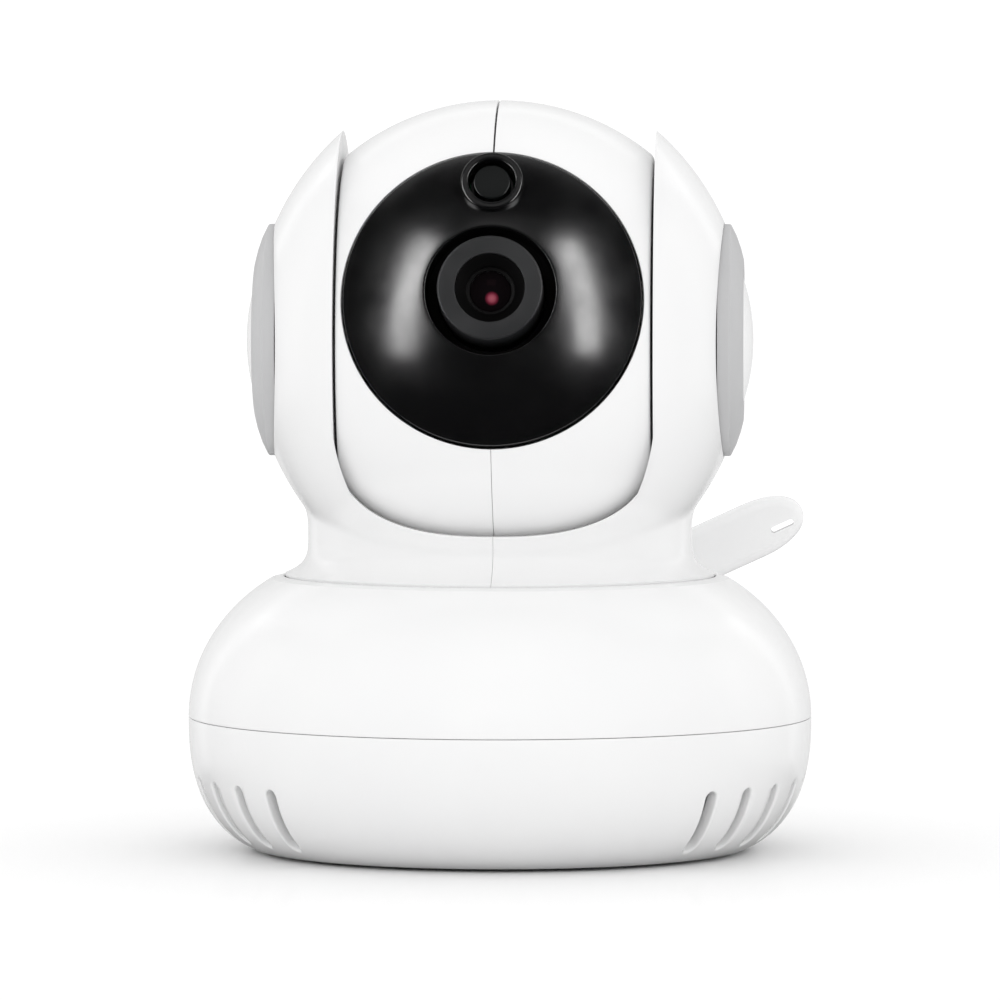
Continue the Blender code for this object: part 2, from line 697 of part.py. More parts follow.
def make_yoke():
    shell = ellipsoid("yoke_right_shell", ARMS_SEMI, "white_plastic", at=(0, 0, TILT_Z))
    join(shell, neck("neck_body", RIM_Z, NECK_TOP_Z))
    join(shell, rod("turret_body", TURRET_R, TURRET_Z, 46 * MM, sides=STEPS))
    far = 70 * MM
    cut(shell, box("other_half", (-far, -far, 0), (GAP / 2, far, 150 * MM)))
    cut(shell, yoke_cavity())
    cut(shell, pocket_front(), "MANIFOLD")
    cut(shell, barrel("pocket_ball", POCKET_R, POCKET_HALF - 0.1 * MM))
    across = dict(at=(0, 0, TILT_Z), turn=(0, math.radians(90), 0))
    cut(shell, rod("ear_seat", EAR_R + GAP, EAR_SEAT, 50 * MM, sides=STEPS, **across))
    cut(shell, rod("motor_window", TILT_CAN_R + 0.5 * MM, 31 * MM, 40 * MM, sides=24, **across))
    cut(shell, rod("bush_hole", 5.4 * MM, 20 * MM, 28 * MM, **across))
    cut(shell, rod("hub_hole", HUB_HOLE_R - 0.2 * MM, 34 * MM, 39 * MM, sides=24))
    mirrored(shell, "yoke_left_shell", "white_plastic")


def make_pan_hub():
    bore = 2.8 * MM
    hub = [
        (bore, 40.1 * MM),
        (14.0 * MM, 40.1 * MM),
        (14.0 * MM, 38.7 * MM),
        (9.0 * MM, 38.7 * MM),
        (9.0 * MM, 33.4 * MM),
        (bore, 33.4 * MM),
    ]
    turned("pan_hub", hub, "natural_plastic", steps=24)
    ring = [
        (12.5 * MM, 34.5 * MM),
        (12.5 * MM, 33.1 * MM),
        (9.3 * MM, 33.1 * MM),
        (9.3 * MM, 34.5 * MM),
    ]
    turned("pan_retaining_ring", ring, "steel", steps=24)
    rod("pan_motor_shaft", 2.5 * MM, MOTOR_TOP_Z + 1.8 * MM, 38.4 * MM, "brass", sides=16)


def make_ears():
    ring = [
        (EAR_BORE, EAR_FRONT - 0.4 * MM),
        (12.0 * MM, EAR_FRONT),
        (13.6 * MM, 38.0 * MM),
        (16.2 * MM, 37.2 * MM),
        (17.6 * MM, 36.6 * MM),
        (EAR_R, 35.9 * MM),
        (EAR_R, EAR_SEAT + GAP),
        (EAR_BORE, EAR_SEAT + GAP),
    ]
    sag = CAP_PEAK - CAP_EDGE
    dome_r = (CAP_R**2 + sag**2) / (2 * sag)
    edge = math.asin(CAP_R / dome_r)
    dome = arc(dome_r, math.pi / 2, math.pi / 2 - edge, 5, (0, CAP_PEAK - dome_r))
    skin = 1.2 * MM
    cap = dome + [
        (CAP_R, CAP_EDGE - 1.6 * MM),
        (CAP_R - skin, CAP_EDGE - 1.6 * MM),
        (CAP_R - skin, CAP_EDGE - 0.8 * MM),
        (0.0, CAP_PEAK - 1.8 * MM),
    ]
    for side, turn in (("right", 90), ("left", -90)):
        place = dict(at=(0, 0, TILT_Z), turn=(0, math.radians(turn), 0))
        turned(f"ear_ring_{side}", ring, "grey_plastic", steps=24, **place)
        turned(f"ear_cap_{side}", cap, "white_plastic", steps=20, closed=False, **place)


def make_tilt_drive():
    place = dict(at=(0, 0, TILT_Z), turn=(0, math.radians(-90), 0))
    motor = rod("tilt_motor", TILT_CAN_R, 26.5 * MM, 36.0 * MM, "steel", sides=24, **place)
    join(motor, box("tilt_lugs", (-14 * MM, -3.5 * MM, 26.5 * MM), (14 * MM, 3.5 * MM, 27.4 * MM), **place))
    bush = [
        (7.0 * MM, 27.6 * MM),
        (7.0 * MM, 26.4 * MM),
        (5.1 * MM, 26.4 * MM),
        (5.1 * MM, 24.9 * MM),
        (3.3 * MM, 24.9 * MM),
        (3.3 * MM, 27.6 * MM),
    ]
    turned("tilt_bush", bush, "natural_plastic", at=(0, 0, TILT_Z), turn=(0, math.radians(90), 0))


# Head


def make_head_shells(tilt):
    place = dict(parent=tilt, turn=(0, math.radians(90), 0))
    round_x = HEAD_HALF - HEAD_FILLET
    round_r = math.sqrt((HEAD_R - HEAD_FILLET) ** 2 - round_x**2)
    meet = math.atan2(round_x, round_r)
    ball = [(HEAD_R * math.cos(a), HEAD_R * math.sin(a)) for a in [meet * i / 6 for i in range(7)]]
    ball = [(r, max(x, GAP / 2)) for r, x in ball]
    fillet = arc(HEAD_FILLET, meet, math.pi / 2, 4, (round_r, round_x))[1:]
    inner_r = HEAD_R - HEAD_WALL
    inner_side = HEAD_HALF - HEAD_WALL
    end = math.asin(inner_side / inner_r)
    inner = [(inner_r * math.cos(a), inner_r * math.sin(a)) for a in [end * i / 4 for i in range(5)]]
    inner = [(r, max(x, GAP / 2)) for r, x in inner]
    hole = 3.5 * MM
    outline = [(hole, HEAD_HALF)] + fillet[::-1] + ball[::-1] + inner + [(hole, inner_side)]
    shell = turned("head_right_shell", outline, "white_plastic", steps=STEPS, **place)
    forward = (math.radians(90), 0, 0)
    opening = rod(
        "face_opening", FACE_R + GAP, 20 * MM, 50 * MM, sides=STEPS, parent=tilt, turn=forward
    )
    cut(shell, opening)
    mirrored(shell, "head_left_shell", "white_plastic")


def make_face(face):
    skin = 1.6 * MM
    inner_dome = FACE_DOME_R - skin
    ledge = FACE_R - 1.4 * MM
    well_r = LENS_HOLE_R + 1.4 * MM
    outer = [
        (FACE_DOME_R * math.cos(a), FACE_DOME_R * math.sin(a))
        for a in [
            math.acos(WELL_EDGE_R / FACE_DOME_R)
            + (math.acos(FACE_R / FACE_DOME_R) - math.acos(WELL_EDGE_R / FACE_DOME_R)) * i / 5
            for i in range(6)
        ]
    ]
    first, last = math.acos(ledge / inner_dome), math.acos(12.0 * MM / inner_dome)
    inner = [
        (inner_dome * math.cos(a), inner_dome * math.sin(a))
        for a in [first + (last - first) * i / 3 for i in range(4)]
    ]
    well = [
        (well_r, 33.2 * MM),
        (well_r, 31.0 * MM),
        (LENS_HOLE_R, 31.0 * MM),
        (LENS_HOLE_R, 35.9 * MM),
    ]
    outline = outer + [(FACE_R, FACE_BACK), (ledge, FACE_BACK)] + inner + well
    dome = turned("face_plate", outline, "black_gloss", steps=STEPS, parent=face)
    seat = dict(parent=face, at=(0, SENSOR_UP, SENSOR_OUT), turn=(-SENSOR_TURN, 0, 0))
    join(dome, rod("collar", COLLAR_R, -2.2 * MM, COLLAR_RISE, sides=24, **seat))
    cut(dome, rod("collar_hole", COLLAR_HOLE_R, -8 * MM, 7 * MM, sides=24, **seat))
    window = [
        (0.0, 1.2 * MM),
        (2.5 * MM, 1.2 * MM),
        (2.85 * MM, 0.9 * MM),
        (2.85 * MM, -1.1 * MM),
        (3.3 * MM, -1.1 * MM),
        (3.3 * MM, -2.1 * MM),
        (0.0, -2.1 * MM),
    ]
    turned("light_sensor_window", window, "black_gloss", closed=False, **seat)
    at = (0, SENSOR_UP, 0)
    rod("light_sensor", 1.5 * MM, 28.4 * MM, 30.6 * MM, "clear_epoxy", sides=16, parent=face, at=at)


def make_lens(face):
    tube = [
        (LENS_OPENING_R, LENS_FRONT),
        (LENS_R - 0.3 * MM, LENS_FRONT),
        (LENS_R, LENS_FRONT - 0.3 * MM),
        (LENS_R, 33.0 * MM),
        (6.0 * MM, 33.0 * MM),
        (6.0 * MM, 23.0 * MM),
        (2.8 * MM, 23.0 * MM),
        (2.8 * MM, 34.8 * MM),
        (3.4 * MM, 34.8 * MM),
        (3.4 * MM, 36.9 * MM),
    ]
    turned("lens_barrel", tube, "black_matte", steps=20, parent=face)
    glass = [
        (0.0, 36.7 * MM),
        (1.6 * MM, 36.5 * MM),
        (3.1 * MM, 36.0 * MM),
        (3.1 * MM, 35.1 * MM),
        (0.0, 35.1 * MM),
    ]
    turned("lens_glass", glass, "glass", steps=16, closed=False, parent=face)
    holder = [
        (7.6 * MM, 32.6 * MM),
        (7.6 * MM, 22.0 * MM),
        (9.2 * MM, 22.0 * MM),
        (9.2 * MM, 19.5 * MM),
        (6.3 * MM, 19.5 * MM),
        (6.3 * MM, 32.6 * MM),
    ]
    turned("lens_holder", holder, "black_matte", steps=16, parent=face)


def make_camera_module(face):
    low, high = (-9 * MM, -7.5 * MM, 15.0 * MM), (11 * MM, 7.5 * MM, 19.2 * MM)
    housing = box("ir_cut_housing", low, high, "black_matte", parent=face)
    cut(housing, rod("ir_cut_window", 3.2 * MM, 14 * MM, 20 * MM, parent=face, sides=16))
    low, high = (-4.2 * MM, -4 * MM, 16.5 * MM), (9.2 * MM, 4 * MM, 18.1 * MM)
    cut(housing, box("ir_cut_slot", low, high, parent=face))
    low, high = (-3.6 * MM, -3.6 * MM, 16.9 * MM), (3.6 * MM, 3.6 * MM, 17.7 * MM)
    box("ir_cut_filter", low, high, "glass", parent=face)
    low, high = (-13 * MM, -12 * MM, 12.3 * MM), (13 * MM, 12 * MM, 13.5 * MM)
    box("image_sensor_board", low, high, "green_board", parent=face)
    low, high = (-4 * MM, -4 * MM, 13.8 * MM), (4 * MM, 4 * MM, 14.7 * MM)
    box("image_sensor", low, high, "black_matte", parent=face)
    ring = [
        (20.5 * MM, 28.1 * MM),
        (20.5 * MM, 27.0 * MM),
        (9.9 * MM, 27.0 * MM),
        (9.9 * MM, 28.1 * MM),
    ]
    turned("ir_led_board", ring, "green_board", steps=24, parent=face)
    led = [
        (0.0, 31.5 * MM),
        (0.9 * MM, 31.2 * MM),
        (1.5 * MM, 30.2 * MM),
        (1.5 * MM, 28.4 * MM),
        (0.0, 28.4 * MM),
    ]
    for i in range(IR_LED_COUNT):
        angle = 2 * math.pi * (i + 0.5) / IR_LED_COUNT
        at = (IR_LED_CIRCLE * math.cos(angle), IR_LED_CIRCLE * math.sin(angle), 0)
        turned(f"ir_led_{i + 1}", led, "clear_epoxy", steps=10, closed=False, parent=face, at=at)


def make_trunnions():
    stub = [
        (0.0, 30.0 * MM),
        (3.0 * MM, 30.0 * MM),
        (3.0 * MM, 22.3 * MM),
        (6.5 * MM, 22.3 * MM),
        (6.5 * MM, 18.5 * MM),
        (0.0, 18.5 * MM),
    ]
    right = dict(at=(0, 0, TILT_Z), turn=(0, math.radians(90), 0))
    left = dict(at=(0, 0, TILT_Z), turn=(0, math.radians(-90), 0))
    turned("tilt_trunnion", stub, "natural_plastic", closed=False, **right)
    hub = [
        (6.5 * MM, 22.3 * MM),
        (6.5 * MM, 18.5 * MM),
        (2.5 * MM, 18.5 * MM),
        (2.5 * MM, 22.3 * MM),
    ]
    turned("tilt_drive_hub", hub, "natural_plastic", **left)
    rod("tilt_motor_shaft", 2.2 * MM, 18.8 * MM, 26.2 * MM, "brass", sides=16, **left)


def main():
    make_pad()
    make_lower_shell()
    make_upper_shell()
    for i, (x, y) in enumerate(BASE_SCREWS):
        make_screw(f"base_screw_{i + 1}", (x, y, 0), 2.6 * MM, 2.1 * MM, 3.9 * MM, 1.3 * MM, 18 * MM)
    make_board()
    make_sockets()
    make_reset()
    make_speaker()
    make_pan_drive()
    make_antenna()
    make_yoke()
    make_pan_hub()
    make_ears()
    make_tilt_drive()
    tilt = empty("tilt_axis", at=(0, 0, TILT_Z), turn=(-REST_TILT, 0, 0))
    face = empty("face_axis", turn=(math.radians(90), 0, 0), parent=tilt)
    make_head_shells(tilt)
    make_face(face)
    make_lens(face)
    make_camera_module(face)
    make_trunnions()


main()
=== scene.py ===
"""The looks of the baby monitor camera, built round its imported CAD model.

Metres, +Z up. The lens faces -Y at rest, the antenna leans to +X. Each outer piece is rebuilt here as a
fine mesh from the same driving dimensions as the CAD part, and the inner pieces keep their CAD shape.
"""

import json
import math

import bmesh
import bpy
from mathutils import Matrix, Vector

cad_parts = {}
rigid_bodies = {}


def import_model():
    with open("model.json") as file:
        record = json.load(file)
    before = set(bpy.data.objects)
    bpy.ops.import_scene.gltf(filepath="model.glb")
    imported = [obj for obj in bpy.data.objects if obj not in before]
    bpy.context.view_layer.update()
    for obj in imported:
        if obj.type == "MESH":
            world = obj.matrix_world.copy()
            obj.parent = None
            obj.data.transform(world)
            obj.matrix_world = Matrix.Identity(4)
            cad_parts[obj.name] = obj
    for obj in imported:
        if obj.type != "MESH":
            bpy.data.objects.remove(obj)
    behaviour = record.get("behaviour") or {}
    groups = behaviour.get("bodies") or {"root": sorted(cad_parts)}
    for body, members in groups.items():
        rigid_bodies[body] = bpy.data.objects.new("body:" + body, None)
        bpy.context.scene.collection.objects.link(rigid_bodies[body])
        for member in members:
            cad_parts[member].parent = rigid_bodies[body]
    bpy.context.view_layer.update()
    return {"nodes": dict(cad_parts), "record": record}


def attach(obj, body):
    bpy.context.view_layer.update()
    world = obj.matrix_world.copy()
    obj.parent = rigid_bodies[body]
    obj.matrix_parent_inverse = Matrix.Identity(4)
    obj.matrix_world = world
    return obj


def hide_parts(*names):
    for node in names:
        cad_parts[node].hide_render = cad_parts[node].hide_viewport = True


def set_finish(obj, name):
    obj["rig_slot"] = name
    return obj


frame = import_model()

MM = 0.001

# Base: an ellipse above the seam and a fuller curve below it, each outside a straight core
BASE_R = 49.0 * MM
SEAM_Z = 21.1 * MM
SEAM_GAP = 0.08 * MM
SHELL_WALL = 2.0 * MM
UPPER_CORE_R = 20.0 * MM
UPPER_RISE = 26.0 * MM
LOWER_CORE_R = 30.0 * MM
LOWER_DROP = 22.0 * MM
LOWER_POWER = 2.5
SHELL_FOOT_Z = 0.5 * MM
INSIDE_FLOOR_Z = 3.4 * MM
LEDGE = 1.2 * MM  # thickness of the ring that centres the upper shell
PAD_R = 36.5 * MM
PAD_TOP_Z = 1.4 * MM
PAD_GAP = 0.3 * MM
DECK_R = 33.9 * MM
DECK_Z = 41.5 * MM
DECK_LIP_Z = 43.3 * MM
WELL_R = 22.5 * MM
WELL_FLOOR_Z = 36.4 * MM
HUB_HOLE_R = 9.5 * MM
PLATE = 1.6 * MM

# Vents: round-ended upright slots, each with a softened edge
VENTS_PER_SIDE = 10
VENT_PITCH = math.radians(10.0)
VENT_HALF = 1.15 * MM
VENT_LOW_Z = 2.3 * MM
VENT_HIGH_Z = 12.0 * MM
VENT_LEAD = 0.35 * MM
VENT_DEPTH = 3.6 * MM

# Yoke
RIM_R = 33.75 * MM
RIM_Z = 43.0 * MM
RIM_EDGE = 0.6 * MM
NECK_HALF_X = 30.2 * MM
NECK_HALF_Y = 25.2 * MM
NECK_TOP_Z = 59.0 * MM
NECK_SIDE_FLARE = (6.4 * MM, 4.5)  # height and power of the flare down to the rim
NECK_FRONT_FLARE = (7.4 * MM, 3)
NECK_SPREAD = 0.055 / MM  # the neck widens again above this height
NECK_SPREAD_Z = 51 * MM
NECK_FRONT_SPREAD = 0.4
CREASE_SIDE = 0.2  # millimetres of rounding where the arms meet the neck
CREASE_FRONT = 2.8  # and this much more in front
ARMS_SEMI = (39.2 * MM, 37.6 * MM, 42.2 * MM)
TURRET_R = 22.0 * MM
TURRET_Z = 36.9 * MM
POCKET_R = 38.1 * MM
POCKET_HALF = 24.6 * MM
POCKET_ROUND_Z = 66.0 * MM
POCKET_DROP = 15.4 * MM
POCKET_POWER = 2.6
POCKET_LIP = 1.0 * MM
POCKET_EDGE = 0.35 * MM
TIP_BLEND = 8 * MM  # the pocket's wall turns square to the arms over this height
HALF_GAP = 0.025 * MM  # each shell half stops this far from the middle plane

# Head
TILT_Z = 80.2 * MM
HEAD_R = 37.6 * MM
HEAD_HALF = 24.2 * MM
HEAD_WALL = 1.6 * MM
HEAD_FILLET = 1.4 * MM
REST_TILT = math.radians(13.5)
SEAM_TOP = 0.13 * MM  # the seam between the head's halves opens by this much more at the top
FACE_R = 22.9 * MM
FACE_GAP = 0.3 * MM
FACE_DOME_R = 38.0 * MM
FACE_BACK = 28.4 * MM
WELL_ROUND = 1.1 * MM
LENS_HOLE_R = 9.9 * MM
SENSOR_UP = 17.1 * MM
SENSOR_OUT = 33.9 * MM
SENSOR_TURN = math.radians(12)
COLLAR_R = 4.8 * MM
COLLAR_RISE = 1.7 * MM
COLLAR_FOOT = -2.2 * MM
COLLAR_HOLE_R = 3.6 * MM
SENSOR_R = 2.85 * MM
SENSOR_FLANGE_R = 3.3 * MM
LENS_R = 8.1 * MM
LENS_FRONT = 38.8 * MM
LENS_OPENING_R = 5.35 * MM
LENS_SHOULDER = 33.0 * MM
LENS_THREAD_R = 6.0 * MM
LENS_BACK = 23.0 * MM
LENS_BORE_R = 2.8 * MM
LENS_SEAT_R = 4.0 * MM
LENS_SEAT = 34.8 * MM
GLASS_R = 3.1 * MM
GLASS_PEAK = 36.5 * MM
GLASS_EDGE = 35.6 * MM
GLASS_BACK = 35.1 * MM

# Ears
EAR_R = 18.2 * MM
EAR_SEAT = 34.0 * MM
EAR_BORE = 11.6 * MM
CAP_R = 11.2 * MM
CAP_PEAK = 39.8 * MM
CAP_EDGE = 37.7 * MM

# Rear sockets, in millimetres: (inner end, outer end), half width, (bottom, top), edge radius
USB_AZIMUTH = math.radians(90)  # straight back
USB_HOLE = (40, 52), 4.4, (8.4, 12.0), 1.2
USB_CASE = (38.9, 44.5), 3.75, (8.9, 11.5), 0.5
USB_MOUTH = (40.5, 46), 3.4, (9.3, 11.1), 0.3
USB_TONGUE = (40.3, 43.8), 2.2, (10.0, 10.6), 0.1
CARD_AZIMUTH = math.radians(62)
CARD_HOLE = (38, 52), 6.3, (9.1, 10.7), 0.5
CARD_CASE = (26, 40), 6.0, (8.9, 10.8), 0.3
CARD_MOUTH = (28, 42), 5.6, (9.4, 10.3), 0.2

# Reset button
RESET_AZIMUTH = math.radians(115)
RESET_Z = 12.0 * MM
RESET_R = 1.7 * MM
RESET_FLANGE_R = 2.8 * MM
RESET_BACK = 41.3 * MM

# Antenna
BOSS_R = 5.0 * MM
BOSS_HOLE_R = 5.3 * MM
BOSS_FLANGE_R = 6.5 * MM
BOSS_FRONT = 49.2 * MM
BOSS_STEP = 39.3 * MM
BOSS_BACK = 37.5 * MM
ANTENNA_Z = 29.5 * MM
ANTENNA_Y = 49.5 * MM
ANTENNA_THICK = 4.2 * MM
ANTENNA_LENGTH = 52.0 * MM
ANTENNA_HALF = 4.6 * MM
ANTENNA_TIP = 9.0 * MM
ANTENNA_EDGE = 1.7 * MM
ANTENNA_REST = math.radians(65.4)
ANTENNA_SLOT_AT = 48.0 * MM
ANTENNA_SLOT_X = (0.7 * MM, 1.7 * MM)
PIN_BORE_R = 1.9 * MM
PIN_SEAT_R = 3.3 * MM
PIN_HEAD_R = 3.0 * MM
PIN_R = 1.6 * MM
PIN_REACH = 7.6 * MM

# Studio and camera: places in metres, the camera's lens and sensor in millimetres
FLOOR_R = 0.5
FLOOR_FADE = (FLOOR_R * 0.11, FLOOR_R * 0.26)  # the floor melts into the background between these
FLOOR_WHITE = (0.95, 0.95, 0.95, 1)
FLOOR_SHEEN = 0.14
WHITE = (1, 1, 1, 1)
WORLD_LIGHT = 1.08
FAR_LIGHT = 1.05
LIGHT_AIM = (0, 0, 0.07)
STRIP_REACH = 0.9
STRIP_AZIMUTH = math.radians(43.5)
STRIP_Z = 0.42
NOT_STRIP_LIT = ("white_shell", "ear_grey", "lens_glass")  # slots without the strips' highlights
CAMERA_AT = (0.050, -1.199, 0.114)
CAMERA_AIM = (0.0, 0.0, 0.0550)
FOCAL_LENGTH = 275.0
SENSOR_WIDTH = 36.0

QUARTER = math.radians(90)
FINE = 192  # facets round a large piece
SMALL = 72

TILT_AXIS = Matrix.Translation((0, 0, TILT_Z)) @ Matrix.Rotation(-REST_TILT, 4, "X")
FACE_AXIS = TILT_AXIS @ Matrix.Rotation(QUARTER, 4, "X")
RIGHT_AXIS = Matrix.Rotation(QUARTER, 4, "Y")
LEFT_AXIS = Matrix.Rotation(-QUARTER, 4, "Y")
AT_TILT = Matrix.Translation((0, 0, TILT_Z))
ANTENNA_AXIS = Matrix.Translation((0, ANTENNA_Y + ANTENNA_THICK / 2, ANTENNA_Z)) @ Matrix.Rotation(
    ANTENNA_REST, 4, "Y"
)


# Materials


def shader_of(name, roughness, metallic=0.0, **sockets):
    """A new material, with its node tree and its Principled shader."""
    material = bpy.data.materials.new(name)
    material.use_nodes = True
    tree = material.node_tree
    shader = tree.nodes["Principled BSDF"]
    shader.inputs["Roughness"].default_value = roughness
    shader.inputs["Metallic"].default_value = metallic
    for socket, value in sockets.items():
        shader.inputs[socket.replace("_", " ")].default_value = value
    return material, tree, shader


def node(tree, kind, links=(), **values):
    """Adds a node, sets its inputs by name, and links (output, input name) pairs into it."""
    made = tree.nodes.new("ShaderNode" + kind)
    for name, value in values.items():
        made.inputs[name.replace("_", " ")].default_value = value
    for output, name in links:
        tree.links.new(output, made.inputs[name])
    return made


def place(tree):
    """The point on the piece, in its own coordinates."""
    return tree.nodes.new("ShaderNodeTexCoord").outputs["Object"]


def noise(tree, scale, detail=3.0, rough=0.5):
    """Noise over the piece, from 0 to 1."""
    return node(
        tree, "TexNoise", [(place(tree), "Vector")], Scale=scale, Detail=detail, Roughness=rough
    ).outputs["Fac"]


def ramp(tree, value, *stops):
    """Colours along a value: each stop is (position, colour)."""
    made = node(tree, "ValToRGB", [(value, "Fac")])
    elements = made.color_ramp.elements
    while len(elements) < len(stops):
        elements.new(0.5)
    for element, (position, colour) in zip(elements, stops):
        element.position = position
        element.color = (*colour, 1.0)
    return made.outputs["Color"]


def spread(tree, value, low, high):
    """Maps a noise value to a range."""
    made = node(tree, "MapRange", [(value, "Value")])
    made.inputs["From Min"].default_value = 0.3
    made.inputs["From Max"].default_value = 0.7
    made.inputs["To Min"].default_value = low
    made.inputs["To Max"].default_value = high
    return made.outputs["Result"]


def bump(tree, shader, height, strength, distance):
    """Fine relief on a shader from a height value."""
    made = node(tree, "Bump", [(height, "Height")], Strength=strength, Distance=distance)
    tree.links.new(made.outputs["Normal"], shader.inputs["Normal"])


def moulded(name, light, dark, roughness, grain, depth, **sockets):
    """Injection-moulded plastic: faint flow variation in colour and gloss over a fine tool texture."""
    material, tree, shader = shader_of(name, roughness, **sockets)
    flow = noise(tree, 45.0, 2.0)
    tree.links.new(ramp(tree, flow, (0.3, dark), (0.7, light)), shader.inputs["Base Color"])
    gloss = noise(tree, 210.0, 4.0)
    tree.links.new(spread(tree, gloss, roughness * 0.85, roughness * 1.15), shader.inputs["Roughness"])
    bump(tree, shader, noise(tree, grain, 3.0, 0.6), 0.25, depth)
    return material


def metal(name, light, dark, roughness, scale):
    """Plated or turned metal with fine streaks along one way."""
    material, tree, shader = shader_of(name, roughness, 1.0)
    mapping = node(tree, "Mapping", [(place(tree), "Vector")])
    mapping.inputs["Scale"].default_value = (1.0, 1.0, 14.0)
    streak = node(
        tree, "TexNoise", [(mapping.outputs["Vector"], "Vector")], Scale=scale, Detail=4.0
    ).outputs["Fac"]
    tree.links.new(ramp(tree, streak, (0.35, dark), (0.65, light)), shader.inputs["Base Color"])
    tree.links.new(spread(tree, streak, roughness * 0.7, roughness * 1.4), shader.inputs["Roughness"])
    bump(tree, shader, streak, 0.15, 0.00004)
    return material


def circuit_board(name):
    """Solder mask with copper tracks under it and scattered plated pads."""
    material, tree, shader = shader_of(name, 0.4)
    tracks = node(tree, "TexBrick", [(place(tree), "Vector")], Scale=420.0)
    tracks.inputs["Color1"].default_value = (0.012, 0.13, 0.05, 1)
    tracks.inputs["Color2"].default_value = (0.014, 0.16, 0.065, 1)
    tracks.inputs["Mortar"].default_value = (0.03, 0.26, 0.11, 1)
    tracks.inputs["Mortar Size"].default_value = 0.05
    pads = node(tree, "TexVoronoi", [(place(tree), "Vector")], Scale=700.0)
    spots = ramp(tree, pads.outputs["Distance"], (0.12, (1, 1, 1)), (0.16, (0, 0, 0)))
    mix = tree.nodes.new("ShaderNodeMix")
    mix.data_type = "RGBA"
    tree.links.new(spots, mix.inputs["Factor"])
    tree.links.new(tracks.outputs["Color"], mix.inputs["A"])
    mix.inputs["B"].default_value = (0.75, 0.62, 0.35, 1)
    tree.links.new(mix.outputs["Result"], shader.inputs["Base Color"])
    bump(tree, shader, tracks.outputs["Fac"], 0.3, 0.00003)
    return material


def glass_with_painted_glint(name):
    """Dark coated glass, with a painted red glint in its base colour where it faces the viewer, fading to
    black round it.
    """
    material, tree, shader = shader_of(name, 0.06, IOR=1.5, Specular_IOR_Level=0.12)
    shader.inputs["Specular Tint"].default_value = (0.85, 0.35, 0.42, 1)
    # painted glint: the base colour runs from red where the glass faces the viewer to black away from it
    facing = node(tree, "LayerWeight", Blend=0.5).outputs["Facing"]
    stops = (
        (0.0, (0.34, 0.08, 0.11)),
        (0.009, (0.13, 0.014, 0.03)),
        (0.018, (0.004, 0.003, 0.0035)),
    )
    tree.links.new(ramp(tree, facing, *stops), shader.inputs["Base Color"])
    bump(tree, shader, noise(tree, 90.0, 1.0), 0.02, 0.00002)
    return material


def rubber(name):
    """Black rubber with a coarse grain."""
    material, tree, shader = shader_of(name, 0.75)
    grain = noise(tree, 2600.0, 5.0, 0.7)
    colour = ramp(tree, grain, (0.35, (0.09,) * 3), (0.65, (0.14,) * 3))
    tree.links.new(colour, shader.inputs["Base Color"])
    tree.links.new(spread(tree, grain, 0.65, 0.9), shader.inputs["Roughness"])
    bump(tree, shader, grain, 0.5, 0.0001)
    return material


MATERIALS = {
    "white_shell": moulded(
        "glossy_white_abs", (0.865, 0.865, 0.865), (0.85, 0.85, 0.852), 0.22, 1400.0, 0.000006,
        Specular_IOR_Level=0.35,
    ),
    "ear_grey": moulded(
        "satin_grey_abs", (0.52, 0.52, 0.525), (0.50, 0.50, 0.505), 0.42, 3200.0, 0.00002,
        Specular_IOR_Level=0.3,
    ),
    "face_black": moulded(
        "infrared_black", (0.0035, 0.0035, 0.004), (0.0027, 0.0027, 0.003), 0.23, 1800.0, 0.000004,
        Specular_IOR_Level=1.0,
    ),
    "lens_black": moulded(
        "matt_black_barrel", (0.018, 0.019, 0.020), (0.014, 0.014, 0.016), 0.45, 2800.0, 0.00002
    ),
    "lens_glass": glass_with_painted_glint("coated_glass_painted_glint"),
    "pad_rubber": rubber("non_slip_rubber"),
    "board_green": circuit_board("solder_mask"),
    "steel": metal("plated_steel", (0.68, 0.68, 0.70), (0.52, 0.52, 0.54), 0.42, 160.0),
    "natural_plastic": moulded(
        "natural_acetal", (0.82, 0.80, 0.74), (0.77, 0.75, 0.68), 0.4, 1500.0, 0.00002
    ),
    "brass": metal("turned_brass", (0.80, 0.60, 0.28), (0.62, 0.44, 0.18), 0.42, 220.0),
    "led_epoxy": moulded(
        "clear_epoxy", (0.55, 0.55, 0.60), (0.42, 0.42, 0.48), 0.12, 900.0, 0.00001,
        Transmission_Weight=0.4,
    ),
}
# A darker copy of the barrel's black: painted shade for the inside of the lens opening and for the ring
# behind the gap round the lens
SHADE_BLACK = moulded(
    "matt_black_painted_shade", (0.0028, 0.0025, 0.0026), (0.0018, 0.0016, 0.0017), 0.55, 2800.0, 0.00002,
    Specular_IOR_Level=0.12,
)
WINDOW = moulded(
    "infrared_window", (0.006, 0.007, 0.007), (0.005, 0.006, 0.006), 0.22, 1800.0, 0.000003,
    Specular_IOR_Level=0.4,
)


# Mesh helpers


def shares(end, steps):
    """Evenly spaced values from 0 to end."""
    return [end * k / steps for k in range(steps + 1)]


def as_object(name, mesh):
    """Puts a mesh into the scene."""
    obj = bpy.data.objects.new(name, mesh)
    bpy.context.scene.collection.objects.link(obj)
    return obj


def solid(name, vertices, faces, matrix=None, merge=2e-6):
    """A closed mesh object with its faces pointing out."""
    mesh = bpy.data.meshes.new(name)
    mesh.from_pydata(vertices, [], faces)
    bm = bmesh.new()
    bm.from_mesh(mesh)
    bmesh.ops.remove_doubles(bm, verts=bm.verts, dist=merge)
    bmesh.ops.dissolve_degenerate(bm, edges=bm.edges, dist=merge / 4)
    bmesh.ops.recalc_face_normals(bm, faces=bm.faces)
    bm.to_mesh(mesh)
    bm.free()
    if matrix is not None:
        mesh.transform(matrix)
    return as_object(name, mesh)


